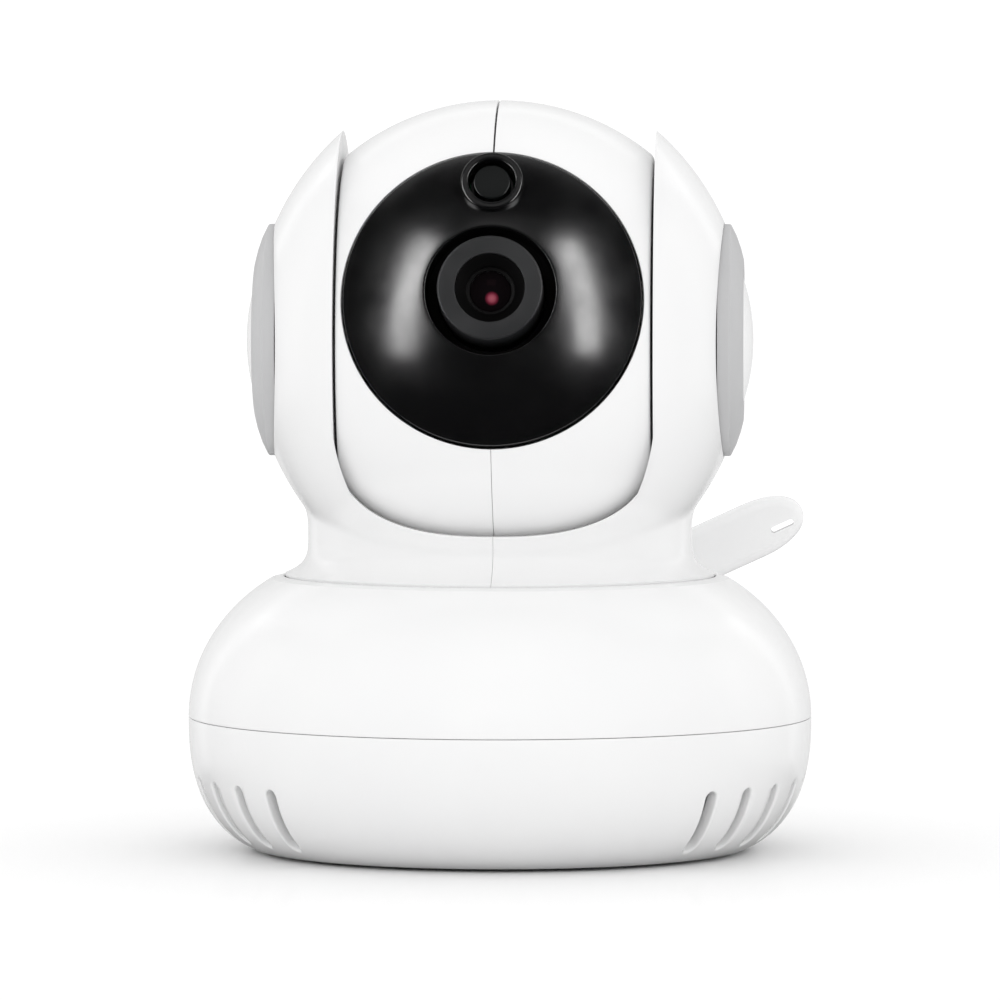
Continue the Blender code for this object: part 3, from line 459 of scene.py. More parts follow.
def soften(outline, radius, arcs=4, closed=True):
    """Rounds the corners of an outline. A point's third value is its own radius."""
    count = len(outline)
    made = []
    for i, entry in enumerate(outline):
        here = Vector(entry[:2])
        if not closed and i in (0, count - 1):
            made.append(tuple(here))
            continue
        back = Vector(outline[i - 1][:2]) - here
        ahead = Vector(outline[(i + 1) % count][:2]) - here
        want = entry[2] if len(entry) > 2 else radius
        turn = back.angle(ahead, 0.0)
        if want <= 0 or turn > math.radians(172) or turn < math.radians(3):
            made.append(tuple(here))
            continue
        reach = min(want / math.tan(turn / 2), 0.45 * min(back.length, ahead.length))
        start = here + back.normalized() * reach
        end = here + ahead.normalized() * reach
        for k in range(arcs + 1):
            t = k / arcs
            point = start * (1 - t) ** 2 + here * 2 * t * (1 - t) + end * t**2
            made.append(tuple(point))
    return made


def turned(name, outline, steps=FINE, closed=True, matrix=None):
    """An outline of (radius, height) points turned about Z."""
    vertices = []
    for k in range(steps):
        angle = 2 * math.pi * k / steps
        vertices += [(r * math.cos(angle), r * math.sin(angle), z) for r, z in outline]
    count = len(outline)
    faces = []
    for k in range(steps):
        here, there = k * count, (k + 1) % steps * count
        for i in range(count if closed else count - 1):
            j = (i + 1) % count
            faces.append((here + i, there + i, there + j, here + j))
    return solid(name, vertices, faces, matrix)


def lofted(name, rings, matrix=None):
    """A solid through rings of equal point count. Each end is closed by rungs from side to side."""
    count = len(rings[0])
    vertices = [point for ring in rings for point in ring]
    faces = []
    for start in (0, len(vertices) - count):
        for i in range(count // 2):
            rung = [i, i + 1, count - i - 1, (count - i) % count]
            faces.append(tuple(dict.fromkeys(start + k for k in rung)))
    for row in range(len(rings) - 1):
        for i in range(count):
            j = (i + 1) % count
            low, high = row * count, (row + 1) * count
            faces.append((low + i, low + j, high + j, high + i))
    return solid(name, vertices, [face for face in faces if len(face) > 2], matrix)


def together(objects, name):
    """Several separate closed meshes as one object, for use as one cutter."""
    vertices, faces = [], []
    for obj in objects:
        start = len(vertices)
        vertices += [tuple(v.co) for v in obj.data.vertices]
        faces += [tuple(start + k for k in p.vertices) for p in obj.data.polygons]
        bpy.data.objects.remove(obj)
    return solid(name, vertices, faces)


def block(name, low, high, matrix=None, edge=0.0):
    """A box between two corners, with rounded edges."""
    bm = bmesh.new()
    bmesh.ops.create_cube(bm, size=1.0)
    low, high = Vector(low), Vector(high)
    bmesh.ops.scale(bm, vec=high - low, verts=bm.verts)
    bmesh.ops.translate(bm, vec=(low + high) / 2, verts=bm.verts)
    if edge:
        bmesh.ops.bevel(bm, geom=bm.edges, offset=edge, segments=4, profile=0.5, affect="EDGES")
    mesh = bpy.data.meshes.new(name)
    bm.to_mesh(mesh)
    bm.free()
    if matrix is not None:
        mesh.transform(matrix)
    return as_object(name, mesh)


def peg(name, radius, low, high, steps=SMALL, matrix=None, lead=0.0, flare=0.0):
    """A round cutter along Z. Its mouth opens by flare over the last lead of its length."""
    outline = [(0.0, high)]
    if flare:
        for angle in shares(QUARTER, 6):
            outline.append((radius + flare * (1 - math.sin(angle)), high - lead + lead * math.cos(angle)))
    else:
        outline.append((radius, high))
    outline += [(radius, low), (0.0, low)]
    return turned(name, outline, steps, False, matrix)


def apply_boolean(obj, cutter, how="DIFFERENCE"):
    """Cuts or joins at once, and removes the cutter."""
    modifier = obj.modifiers.new("shape", "BOOLEAN")
    modifier.operation = how
    modifier.solver = "EXACT"
    modifier.object = cutter
    shape = obj.evaluated_get(bpy.context.evaluated_depsgraph_get())
    mesh = bpy.data.meshes.new_from_object(shape)
    obj.modifiers.clear()
    obj.data = mesh
    bpy.data.objects.remove(cutter)
    return obj


def mirrored(obj, name):
    """A copy mirrored in the plane x = 0."""
    mesh = obj.data.copy()
    mesh.transform(Matrix.Scale(-1, 4, (1, 0, 0)))
    mesh.flip_normals()
    return as_object(name, mesh)


def finish_piece(obj, body, slot, *nodes, angle=32.0, material=None):
    """Gives a piece its material, its body and the CAD nodes that it stands for."""
    obj.data.shade_smooth()
    obj.data.set_sharp_from_angle(angle=math.radians(angle))
    obj.data.materials.clear()
    obj.data.materials.append(material or MATERIALS[slot])
    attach(obj, body)
    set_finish(obj, slot)
    if nodes:
        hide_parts(*nodes)
    return obj


def arc(radius, start, end, count, centre=(0.0, 0.0)):
    """Points along a circle between two angles."""
    angles = [start + (end - start) * i / (count - 1) for i in range(count)]
    return [(centre[0] + radius * math.cos(a), centre[1] + radius * math.sin(a)) for a in angles]


def cap_dome(radius, peak, edge):
    """A shallow dome from its peak on the axis out to its edge."""
    sag = peak - edge
    dome_r = (radius**2 + sag**2) / (2 * sag)
    return arc(dome_r, QUARTER, QUARTER - math.asin(radius / dome_r), 20, (0, peak - dome_r))


def radial(azimuth):
    """Points a piece's own Z straight out from the pan axis."""
    return Matrix.Rotation(azimuth, 4, "Z") @ RIGHT_AXIS


# Base


def upper_outline(inset, r_from, count):
    """The upper shell's profile, drawn in by an inset, from a radius out to the seam."""
    half = BASE_R - UPPER_CORE_R - inset
    rise = UPPER_RISE - inset
    start = math.acos((r_from - UPPER_CORE_R) / half)
    angles = [start * (1 - i / (count - 1)) for i in range(count)]
    return [(UPPER_CORE_R + half * math.cos(a), SEAM_Z + rise * math.sin(a)) for a in angles]


def lower_outline(inset, z_to, count):
    """The lower shell's profile, drawn in by an inset, from the seam down to a height."""
    half = BASE_R - LOWER_CORE_R - inset
    drop = LOWER_DROP - inset
    end = math.asin(((SEAM_Z - z_to) / drop) ** (LOWER_POWER / 2))
    power = 2 / LOWER_POWER
    return [
        (LOWER_CORE_R + half * math.cos(a) ** power, SEAM_Z - drop * math.sin(a) ** power)
        for a in shares(end, count - 1)
    ]


def lower_radius(z):
    """Outer radius of the lower shell at one height."""
    return lower_outline(0.0, z, 2)[-1][0]


def lower_normal(z):
    """The way that the lower shell faces at height z, as (outward, upward)."""
    step = 0.05 * MM
    slope = (lower_radius(z + step) - lower_radius(z - step)) / (2 * step)
    return Vector((1.0, -slope)).normalized()


def vent_cutter(azimuth):
    """One slot: a round-ended outline that follows the shell, wider where it meets the surface."""
    ends = 10
    run = 16
    half_height = (VENT_HIGH_Z - VENT_LOW_Z) / 2
    middle = (VENT_HIGH_Z + VENT_LOW_Z) / 2
    straight = half_height - VENT_HALF
    path = []
    for k in range(ends + 1):
        angle = QUARTER * (1 + k / ends)
        path.append((math.cos(angle), math.sin(angle), straight))
    path += [(-1.0, 0.0, straight * (1 - 2 * k / run)) for k in range(1, run)]
    for k in range(ends + 1):
        angle = math.pi + QUARTER * k / ends
        path.append((math.cos(angle), math.sin(angle), -straight))
    path += [(-across, along, offset) for across, along, offset in reversed(path[1:-1])]
    rings = []
    turn = Matrix.Rotation(azimuth, 3, "Z")
    layers = [(-VENT_DEPTH, 0.0)]
    for a in shares(QUARTER, 5):
        layers.append((VENT_LEAD * math.sin(a) - VENT_LEAD, VENT_LEAD * (1 - math.cos(a))))
    layers += [(0.5 * MM, VENT_LEAD + 0.5 * MM)]
    for depth, wider in layers:
        ring = []
        for across, along, offset in path:
            size = VENT_HALF + wider
            z = middle + offset + along * size
            normal = lower_normal(z)
            r = lower_radius(z) + normal.x * depth
            ring.append(turn @ Vector((r, across * size, z + normal.y * depth)))
        rings.append(ring)
    return lofted("vent", rings)


def rear_block(name, azimuth, size):
    """A box along one direction from the pan axis, from its row of sizes in millimetres."""
    (near, far), half, (bottom, top), edge = size
    low = (near * MM, -half * MM, bottom * MM)
    high = (far * MM, half * MM, top * MM)
    return block(name, low, high, Matrix.Rotation(azimuth, 4, "Z"), edge * MM)


def make_lower_shell():
    lip_r = BASE_R - SHELL_WALL - PAD_GAP
    outer = lower_outline(0.0, SHELL_FOOT_Z, 44)
    outer[0] = (BASE_R, SEAM_Z - SEAM_GAP / 2, 0.16 * MM)
    outer[-1] = (*outer[-1], 0.3 * MM)
    inner = list(reversed(lower_outline(SHELL_WALL, INSIDE_FLOOR_Z, 12)))
    ledge = [
        (lip_r - LEDGE, SEAM_Z - 1.0 * MM),
        (lip_r - LEDGE, SEAM_Z + 1.5 * MM),
        (lip_r, SEAM_Z + 1.5 * MM),
        (lip_r, SEAM_Z - SEAM_GAP / 2),
    ]
    foot = [
        (PAD_R + PAD_GAP, SHELL_FOOT_Z),
        (PAD_R + PAD_GAP, PAD_TOP_Z + PAD_GAP),
        (0.0, PAD_TOP_Z + PAD_GAP),
    ]
    outline = [(0.0, INSIDE_FLOOR_Z)] + inner[:-1] + ledge + outer + foot
    shell = turned("base_lower_shell_fine", soften(outline, 0.12 * MM, 3, False), FINE, False)
    vents = []
    for side in (0.0, math.pi):
        for k in range(VENTS_PER_SIDE):
            vents.append(vent_cutter(side + (k - (VENTS_PER_SIDE - 1) / 2) * VENT_PITCH))
    apply_boolean(shell, together(vents, "vents"))
    apply_boolean(shell, rear_block("usb_hole", USB_AZIMUTH, USB_HOLE))
    apply_boolean(shell, rear_block("card_hole", CARD_AZIMUTH, CARD_HOLE))
    reset_place = Matrix.Translation((0, 0, RESET_Z)) @ radial(RESET_AZIMUTH)
    past_shell = lower_radius(10.2 * MM) + 4 * MM
    apply_boolean(shell, peg("reset_hole", RESET_R + 0.3 * MM, 40 * MM, past_shell, matrix=reset_place))
    return finish_piece(shell, "base", "white_shell", "base_lower_shell")


def make_upper_shell():
    under_deck = DECK_Z - PLATE
    inner_r = UPPER_CORE_R + (BASE_R - UPPER_CORE_R - SHELL_WALL) * math.sqrt(
        1 - ((under_deck - SEAM_Z) / (UPPER_RISE - SHELL_WALL)) ** 2
    )
    outer = [(DECK_R, DECK_LIP_Z, 0.35 * MM)] + upper_outline(0.0, 36.0 * MM, 56)
    outer[-1] = (BASE_R, SEAM_Z + SEAM_GAP / 2, 0.16 * MM)
    inner = list(reversed(upper_outline(SHELL_WALL, inner_r, 12)))
    inner[0] = (BASE_R - SHELL_WALL, SEAM_Z + SEAM_GAP / 2)
    well = [
        (WELL_R + PLATE, under_deck),
        (WELL_R + PLATE, WELL_FLOOR_Z - PLATE),
        (HUB_HOLE_R, WELL_FLOOR_Z - PLATE),
        (HUB_HOLE_R, WELL_FLOOR_Z),
        (WELL_R, WELL_FLOOR_Z),
        (WELL_R, DECK_Z),
        (DECK_R, DECK_Z),
    ]
    shell = turned("base_upper_shell_fine", soften(outer + inner + well, 0.15 * MM, 3))
    boss_place = Matrix.Translation((0, 0, ANTENNA_Z)) @ radial(QUARTER)
    apply_boolean(shell, peg("boss_hole", BOSS_HOLE_R, 36 * MM, 52 * MM, matrix=boss_place))
    return finish_piece(shell, "base", "white_shell", "base_upper_shell")


def make_pad():
    outline = [
        (0.0, PAD_TOP_Z),
        (PAD_R, PAD_TOP_Z),
        (PAD_R, 0.0, 0.5 * MM),
        (PAD_R - 4.0 * MM, 0.0),
        (PAD_R - 4.2 * MM, 0.3 * MM),
        (PAD_R - 5.0 * MM, 0.3 * MM),
        (PAD_R - 5.2 * MM, 0.0),
        (0.0, 0.0),
    ]
    pad = turned("non_slip_pad_fine", soften(outline, 0.1 * MM, 3, False), FINE, False)
    return finish_piece(pad, "base", "pad_rubber", "non_slip_pad")


def make_sockets():
    usb = rear_block("micro_usb_socket_fine", USB_AZIMUTH, USB_CASE)
    apply_boolean(usb, rear_block("mouth", USB_AZIMUTH, USB_MOUTH))
    apply_boolean(usb, rear_block("tongue", USB_AZIMUTH, USB_TONGUE), "UNION")
    finish_piece(usb, "base", "steel", "micro_usb_socket")
    card = rear_block("memory_card_slot_fine", CARD_AZIMUTH, CARD_CASE)
    apply_boolean(card, rear_block("mouth", CARD_AZIMUTH, CARD_MOUTH))
    finish_piece(card, "base", "steel", "memory_card_slot")


def make_reset():
    face = lower_radius(RESET_Z) + 0.3 * MM
    outline = [
        (0.0, face - 0.15 * MM),
        (RESET_R * 0.6, face - 0.1 * MM, 0.0),
        (RESET_R, face, 0.35 * MM),
        (RESET_R, RESET_BACK + 1.0 * MM),
        (RESET_FLANGE_R, RESET_BACK + 1.0 * MM),
        (RESET_FLANGE_R, RESET_BACK),
        (0.0, RESET_BACK),
    ]
    place_it = Matrix.Translation((0, 0, RESET_Z)) @ radial(RESET_AZIMUTH)
    button = turned("reset_button_fine", soften(outline, 0.1 * MM, 4, False), SMALL, False, place_it)
    finish_piece(button, "reset_button", "ear_grey", "reset_button")


def make_antenna():
    place_it = Matrix.Translation((0, 0, ANTENNA_Z)) @ radial(QUARTER)
    bracket = [
        (0.0, BOSS_FRONT),
        (BOSS_R, BOSS_FRONT, 0.6 * MM),
        (BOSS_R, BOSS_STEP),
        (BOSS_FLANGE_R, BOSS_STEP),
        (BOSS_FLANGE_R, BOSS_BACK),
        (0.0, BOSS_BACK),
    ]
    boss = turned("antenna_bracket_fine", soften(bracket, 0.2 * MM, 4, False), SMALL, False, place_it)
    apply_boolean(boss, peg("pin_bore", PIN_BORE_R, 43.5 * MM, 50 * MM, matrix=place_it))
    finish_piece(boss, "base", "white_shell", "antenna_bracket")

    shoulder = ANTENNA_LENGTH - ANTENNA_TIP
    root = arc(1.0, math.pi, 2 * math.pi, 33)
    tip = [(math.cos(a) ** 0.9, math.sin(a) ** 0.9) for a in shares(QUARTER, 22)]
    run = 24

    def section(inset, y):
        """The paddle's outline, drawn in by an inset, at one depth."""
        half = ANTENNA_HALF - inset
        points = [(half * x, half * z) for x, z in root]
        points += [(half, shoulder * k / run) for k in range(1, run)]
        points += [(half * x, shoulder + (ANTENNA_TIP - inset) * z) for x, z in tip]
        points += [(-half * x, shoulder + (ANTENNA_TIP - inset) * z) for x, z in reversed(tip[:-1])]
        points += [(-half, shoulder * (1 - k / run)) for k in range(1, run)]
        return [(x, y, z) for x, z in points]

    half = ANTENNA_THICK / 2
    layers = [
        (ANTENNA_EDGE * (1 - math.sin(a)), -half + ANTENNA_EDGE * (1 - math.cos(a)))
        for a in shares(QUARTER, 8)
    ]
    layers += [(inset, -y) for inset, y in reversed(layers)]
    paddle = lofted("antenna_paddle_fine", [section(inset, y) for inset, y in layers], ANTENNA_AXIS)
    slot_low = (ANTENNA_SLOT_X[0], -10 * MM, ANTENNA_SLOT_AT - 2.0 * MM)
    slot_high = (ANTENNA_SLOT_X[1], 10 * MM, ANTENNA_SLOT_AT + 2.0 * MM)
    apply_boolean(paddle, block("slot", slot_low, slot_high, ANTENNA_AXIS, 0.45 * MM))
    across = ANTENNA_AXIS @ Matrix.Rotation(-QUARTER, 4, "X")
    apply_boolean(paddle, peg("pin_hole", PIN_BORE_R, -half - MM, half + MM, matrix=across))
    apply_boolean(paddle, peg("pin_seat", PIN_SEAT_R, half - 1.3 * MM, half + MM, matrix=across))
    finish_piece(paddle, "antenna", "white_shell", "antenna_paddle")

    pin_head = half - 1.0 * MM
    pin = [
        (0.0, half - 0.1 * MM),
        (0.5 * MM, half + 0.2 * MM),
        (PIN_HEAD_R, half + 0.2 * MM, 0.4 * MM),
        (PIN_HEAD_R, pin_head),
        (PIN_R, pin_head),
        (PIN_R, -PIN_REACH),
        (0.0, -PIN_REACH),
    ]
    rivet = turned("antenna_pin_fine", soften(pin, 0.12 * MM, 4, False), SMALL, False, across)
    finish_piece(rivet, "antenna", "steel", "antenna_pin")


# Yoke


def oval(half_x, half_y, azimuth):
    """Radius of an ellipse in one direction."""
    return 1.0 / math.hypot(math.cos(azimuth) / half_x, math.sin(azimuth) / half_y)


def yoke_radius(azimuth, z):
    """Outer radius of the yoke: the arms' ellipsoid and the flared neck, blended softly in front."""
    lift = (z - TILT_Z) / ARMS_SEMI[2]
    share = math.sqrt(max(1e-9, 1 - lift**2))
    arms = oval(ARMS_SEMI[0] * share, ARMS_SEMI[1] * share, azimuth)
    if z > NECK_TOP_Z:
        return arms
    above = max(0.0, z - (RIM_Z + RIM_EDGE))
    side, front = (
        max(0.0, 1 - above / height) ** power for height, power in (NECK_SIDE_FLARE, NECK_FRONT_FLARE)
    )
    widening = NECK_SPREAD * max(0.0, z - NECK_SPREAD_Z) ** 2
    half_x = NECK_HALF_X + (RIM_R - NECK_HALF_X) * side + widening
    half_y = NECK_HALF_Y + (RIM_R - NECK_HALF_Y) * front + NECK_FRONT_SPREAD * widening
    neck = oval(half_x, half_y, azimuth)
    round_by = (CREASE_SIDE + CREASE_FRONT * math.sin(azimuth) ** 2) * MM
    overlap = max(0.0, round_by - abs(arms - neck)) / round_by
    return max(arms, neck) + overlap**2 * round_by / 4


def pocket_outline(count):
    """The right half of the opening between the arms, from the bottom centre to the arm's tip."""
    power = 2 / POCKET_POWER
    steps = 60
    even, crowded = 0.7, 0.3  # shares of the length with even points and with points closing up
    path = [
        (POCKET_HALF * math.sin(a) ** power, POCKET_ROUND_Z - POCKET_DROP * math.cos(a) ** power)
        for a in shares(QUARTER, steps)
    ]
    top = TILT_Z + ARMS_SEMI[2] * math.sqrt(1 - (POCKET_HALF / ARMS_SEMI[0]) ** 2)
    path += [(POCKET_HALF, POCKET_ROUND_Z + z) for z in shares(top - POCKET_ROUND_Z, steps)[1:]]
    lengths = [0.0]
    for (x0, z0), (x1, z1) in zip(path, path[1:]):
        lengths.append(lengths[-1] + math.hypot(x1 - x0, z1 - z0))
    made = []
    for i in range(count):
        share = i / (count - 1)
        if share >= even:
            share = even + crowded * math.sin((share - even) / crowded * math.pi / 2)
        want = lengths[-1] * share
        k = max(j for j, length in enumerate(lengths[:-1]) if length <= want + 1e-12)
        t = (want - lengths[k]) / (lengths[k + 1] - lengths[k])
        made.append(tuple(Vector(path[k]).lerp(Vector(path[k + 1]), min(1.0, t))))
    return made


def edge_depth(x, z):
    """How far in front of the pan axis the yoke's surface is, at one place seen from the front."""
    low, high = 0.0, math.pi / 2
    for _ in range(48):
        middle = (low + high) / 2
        if yoke_radius(middle, z) * math.cos(middle) > x:
            low = middle
        else:
            high = middle
    return yoke_radius(low, z) * math.sin(low)


def trough_height(x, y, z):
    """Height of the pocket's surface under the head."""
    left = POCKET_R**2 - x**2 - y**2
    if left <= 0 or x > POCKET_HALF - 0.05 * MM:
        return z
    return min(z, TILT_Z - math.sqrt(left))


def yoke_half():
    """The right-hand half of the yoke as one closed grid, with the edge of its pocket rounded."""
    columns = 120  # along the pocket's edge
    rows = 96  # from the rim up to that edge
    rungs = 32  # across the pocket's floor
    turn_steps = 6  # round the softened edge
    outline = pocket_outline(columns)
    outline[0] = (HALF_GAP, outline[0][1])
    edge = [Vector((x, -edge_depth(x, z), z)) for x, z in outline]
    edge[-1].y = 0.0
    low = RIM_Z + RIM_EDGE

    def beyond(i):
        """A place on the outside, one edge rounding away from the pocket's edge."""
        before, after = outline[max(0, i - 1)], outline[min(columns - 1, i + 1)]
        along = Vector(after) - Vector(before)
        along.normalize()
        x, z = outline[i]
        away = min(POCKET_EDGE, 0.4 * (yoke_radius(0.0, z) - x))
        x, z = max(HALF_GAP, x + along.y * away), z - along.x * away
        return Vector((x, -edge_depth(x, z), z))

    outer = [beyond(i) for i in range(columns)]
    outer[0].x = HALF_GAP
    outer[-1] = edge[-1].copy()

    def column(i):
        """From the rim's bottom edge up to the pocket's edge."""
        share = i / (columns - 1)
        foot = QUARTER * (1 - share) ** 1.25
        top = outer[i]
        top_azimuth = math.atan2(-top.y, top.x)
        points = [Vector((r * math.cos(foot), -r * math.sin(foot), z)) for r, z in rim]
        for k in range(1, rows + 1):
            t = k / rows
            rise = t**1.15
            z = low + (top.z - low) * rise
            azimuth = foot + (top_azimuth - foot) * t
            r = yoke_radius(azimuth, z)
            points.append(Vector((r * math.cos(azimuth), -r * math.sin(azimuth), z)))
        points[-1] = top.copy()
        return points

    rim = [
        (0.0, TURRET_Z),
        (TURRET_R, TURRET_Z),
        (TURRET_R, RIM_Z),
        (RIM_R - 0.2 * MM, RIM_Z),
        (RIM_R - 0.05 * MM, RIM_Z + 0.06 * MM),
        (RIM_R, RIM_Z + 0.2 * MM),
        (RIM_R, low),
    ]
    front = [column(i) for i in range(columns)]
    for point in front[0]:
        point.x = HALF_GAP
    for line in front:
        for point in line:
            point.x = max(point.x, HALF_GAP)
    outside = front + [[Vector((p.x, -p.y, p.z)) for p in line] for line in reversed(front[:-1])]

    ways = []  # the way into the pocket at each place on its edge
    for i, (_, z) in enumerate(outline):
        blend = min(1.0, max(0.0, (z - POCKET_ROUND_Z) / TIP_BLEND))
        facing = Vector((0, edge[i].y / ARMS_SEMI[1] ** 2, (z - TILT_Z) / ARMS_SEMI[2] ** 2))
        slope = -facing.normalized() if facing.length > 1e-9 else Vector((0, 1, 0))
        ways.append(Vector((0, 1, 0)).lerp(slope, blend).normalized())
    pocket = []
    for i in range(columns):
        corner = edge[i]
        lip = corner + ways[i] * min(POCKET_EDGE, -corner.y)
        line = []
        for k in range(turn_steps + 1):
            t = k / turn_steps
            line.append(outer[i] * (1 - t) ** 2 + corner * 2 * t * (1 - t) + lip * t**2)
        back = [Vector((p.x, -p.y, p.z)) for p in reversed(line)]
        inner = corner + ways[i] * min(POCKET_LIP, -corner.y)
        for k in range(rungs + 1):
            y = inner.y * (1 - 2 * k / rungs)
            line.append(Vector((inner.x, y, trough_height(inner.x, y, inner.z))))
        pocket.append(line + back)

    vertices, faces = [], []
    for grid in (outside, pocket):
        width = len(grid[0])
        start = len(vertices)
        vertices += [p for line in grid for p in line]
        for i in range(len(grid) - 1):
            for k in range(width - 1):
                a = start + i * width + k
                faces.append((a, a + 1, a + width + 1, a + width))
    return vertices, faces


def make_yoke():
    vertices, faces = yoke_half()
    shell = solid("yoke_right_shell_fine", vertices, faces, merge=4e-6)
    bm = bmesh.new()
    bm.from_mesh(shell.data)
    open_edges = [e for e in bm.edges if e.is_boundary]
    bmesh.ops.holes_fill(bm, edges=open_edges, sides=0)
    bmesh.ops.recalc_face_normals(bm, faces=bm.faces)
    bm.to_mesh(shell.data)
    bm.free()
    seat = AT_TILT @ RIGHT_AXIS
    apply_boolean(shell, peg("ear_seat", EAR_R + 0.3 * MM, EAR_SEAT, 50 * MM, FINE, seat))
    left = mirrored(shell, "yoke_left_shell_fine")
    finish_piece(shell, "yoke", "white_shell", "yoke_right_shell")
    finish_piece(left, "yoke", "white_shell", "yoke_left_shell")


def make_ears():
    ring = [
        (EAR_BORE, 38.35 * MM, 0.35 * MM),
        (12.6 * MM, 38.3 * MM, 1.0 * MM),
        (14.4 * MM, 37.85 * MM, 3.0 * MM),
        (16.4 * MM, 37.15 * MM, 3.0 * MM),
        (EAR_R, 36.25 * MM, 0.4 * MM),
        (EAR_R, EAR_SEAT + 0.3 * MM),
        (EAR_BORE, EAR_SEAT + 0.3 * MM),
    ]
    dome = cap_dome(CAP_R, CAP_PEAK, CAP_EDGE)
    dome[-1] = (*dome[-1], 0.35 * MM)
    skin = 1.2 * MM
    cap = dome + [
        (CAP_R, CAP_EDGE - 1.6 * MM),
        (CAP_R - skin, CAP_EDGE - 1.6 * MM),
        (CAP_R - skin, CAP_EDGE - 0.8 * MM),
        (0.0, CAP_PEAK - 1.8 * MM),
    ]
    for side, turn in (("right", RIGHT_AXIS), ("left", LEFT_AXIS)):
        seat = AT_TILT @ turn
        grey = turned(f"ear_ring_{side}_fine", soften(ring, 0.1 * MM, 6), FINE, True, seat)
        finish_piece(grey, "yoke", "ear_grey", f"ear_ring_{side}", angle=50)
        white = turned(f"ear_cap_{side}_fine", soften(cap, 0.1 * MM, 4, False), FINE, False, seat)
        finish_piece(white, "yoke", "white_shell", f"ear_cap_{side}")


# Head


def make_head():
    round_x = HEAD_HALF - HEAD_FILLET
    round_r = math.sqrt((HEAD_R - HEAD_FILLET) ** 2 - round_x**2)
    meet = math.atan2(round_x, round_r)
    ball = [(HEAD_R * math.cos(a), HEAD_R * math.sin(a)) for a in shares(meet, 40)]
    ball = [(r, max(x, HALF_GAP)) for r, x in ball]
    ball[0] = (*ball[0], 0.12 * MM)
    fillet = arc(HEAD_FILLET, meet, math.pi / 2, 12, (round_r, round_x))[1:]
    inner_r = HEAD_R - HEAD_WALL
    inner_side = HEAD_HALF - HEAD_WALL
    end = math.asin(inner_side / inner_r)
    inner = [(inner_r * math.cos(a), inner_r * math.sin(a)) for a in shares(end, 12)]
    inner = [(r, max(x, HALF_GAP)) for r, x in inner]
    hole = 3.5 * MM
    outline = [(hole, HEAD_HALF)] + fillet[::-1] + ball[::-1] + inner + [(hole, inner_side)]
    shell = turned("head_right_shell_fine", soften(outline, 0.0, 3), 256, True, TILT_AXIS @ RIGHT_AXIS)
    face_hole_r = FACE_R + FACE_GAP
    mouth = math.sqrt(HEAD_R**2 - face_hole_r**2)
    opening = [
        (0.0, 50 * MM),
        (face_hole_r + 3 * MM, 50 * MM),
        (face_hole_r + 3 * MM, mouth + 1.5 * MM),
        (face_hole_r + 0.35 * MM, mouth + 0.02 * MM),
        (face_hole_r + 0.12 * MM, mouth - 0.14 * MM),
        (face_hole_r, mouth - 0.42 * MM),
        (face_hole_r, 20 * MM),
        (0.0, 20 * MM),
    ]
    apply_boolean(shell, turned("face_opening", opening, 240, False, FACE_AXIS))
    seam_reach = 1.0 * MM
    for vertex in shell.data.vertices:
        if vertex.co.x < seam_reach:
            height = (vertex.co.z - TILT_Z) / HEAD_R
            vertex.co.x += SEAM_TOP * max(0.0, height) * (1 - vertex.co.x / seam_reach)
    left = mirrored(shell, "head_left_shell_fine")
    finish_piece(shell, "head", "white_shell", "head_right_shell")
    finish_piece(left, "head", "white_shell", "head_left_shell")


def dome_points(radius, r_from, r_to, count):
    """Points on a ball between two distances from the lens axis."""
    return arc(radius, math.acos(r_from / radius), math.acos(r_to / radius), count)


def make_face():
    skin = 1.6 * MM
    ledge = FACE_R - 1.4 * MM
    well_r = LENS_HOLE_R + 1.4 * MM
    outer = dome_points(FACE_DOME_R, LENS_HOLE_R + WELL_ROUND, FACE_R, 48)
    mouth = math.sqrt(FACE_DOME_R**2 - LENS_HOLE_R**2)
    outer[-1] = (*outer[-1], 0.3 * MM)
    inner = dome_points(FACE_DOME_R - skin, ledge, 12.0 * MM, 16)
    well_back = 31.0 * MM
    well = [
        (well_r, 33.2 * MM),
        (well_r, well_back),
        (LENS_HOLE_R, well_back),
        (LENS_HOLE_R, mouth - 2 * WELL_ROUND),
        (LENS_HOLE_R, mouth, WELL_ROUND),
    ]
    outline = outer + [(FACE_R, FACE_BACK), (ledge, FACE_BACK)] + inner + well
    dome = turned("face_plate_fine", soften(outline, 0.15 * MM, 8), 256, True, FACE_AXIS)
    turn = Matrix.Rotation(-SENSOR_TURN, 4, "X")
    at = FACE_AXIS @ Matrix.Translation((0, SENSOR_UP, SENSOR_OUT)) @ turn
    collar = [
        (0.0, COLLAR_RISE),
        (COLLAR_R, COLLAR_RISE, 0.4 * MM),
        (COLLAR_R, COLLAR_FOOT),
        (0.0, COLLAR_FOOT),
    ]
    apply_boolean(dome, turned("collar", soften(collar, 0.0, 5, False), 96, False, at), "UNION")
    top = COLLAR_RISE + 0.01 * MM
    hole = peg("collar_hole", COLLAR_HOLE_R, -8 * MM, top, 96, at, 0.25 * MM, 0.25 * MM)
    apply_boolean(dome, hole)
    finish_piece(dome, "head", "face_black", "face_plate", angle=28)
    window = [
        (0.0, 1.2 * MM),
        (SENSOR_R, 1.2 * MM, 0.25 * MM),
        (SENSOR_R, -1.1 * MM),
        (SENSOR_FLANGE_R, -1.1 * MM),
        (SENSOR_FLANGE_R, -2.1 * MM),
        (0.0, -2.1 * MM),
    ]
    pane = turned("light_sensor_window_fine", soften(window, 0.1 * MM, 4, False), 96, False, at)
    finish_piece(pane, "head", "face_black", "light_sensor_window", material=WINDOW)


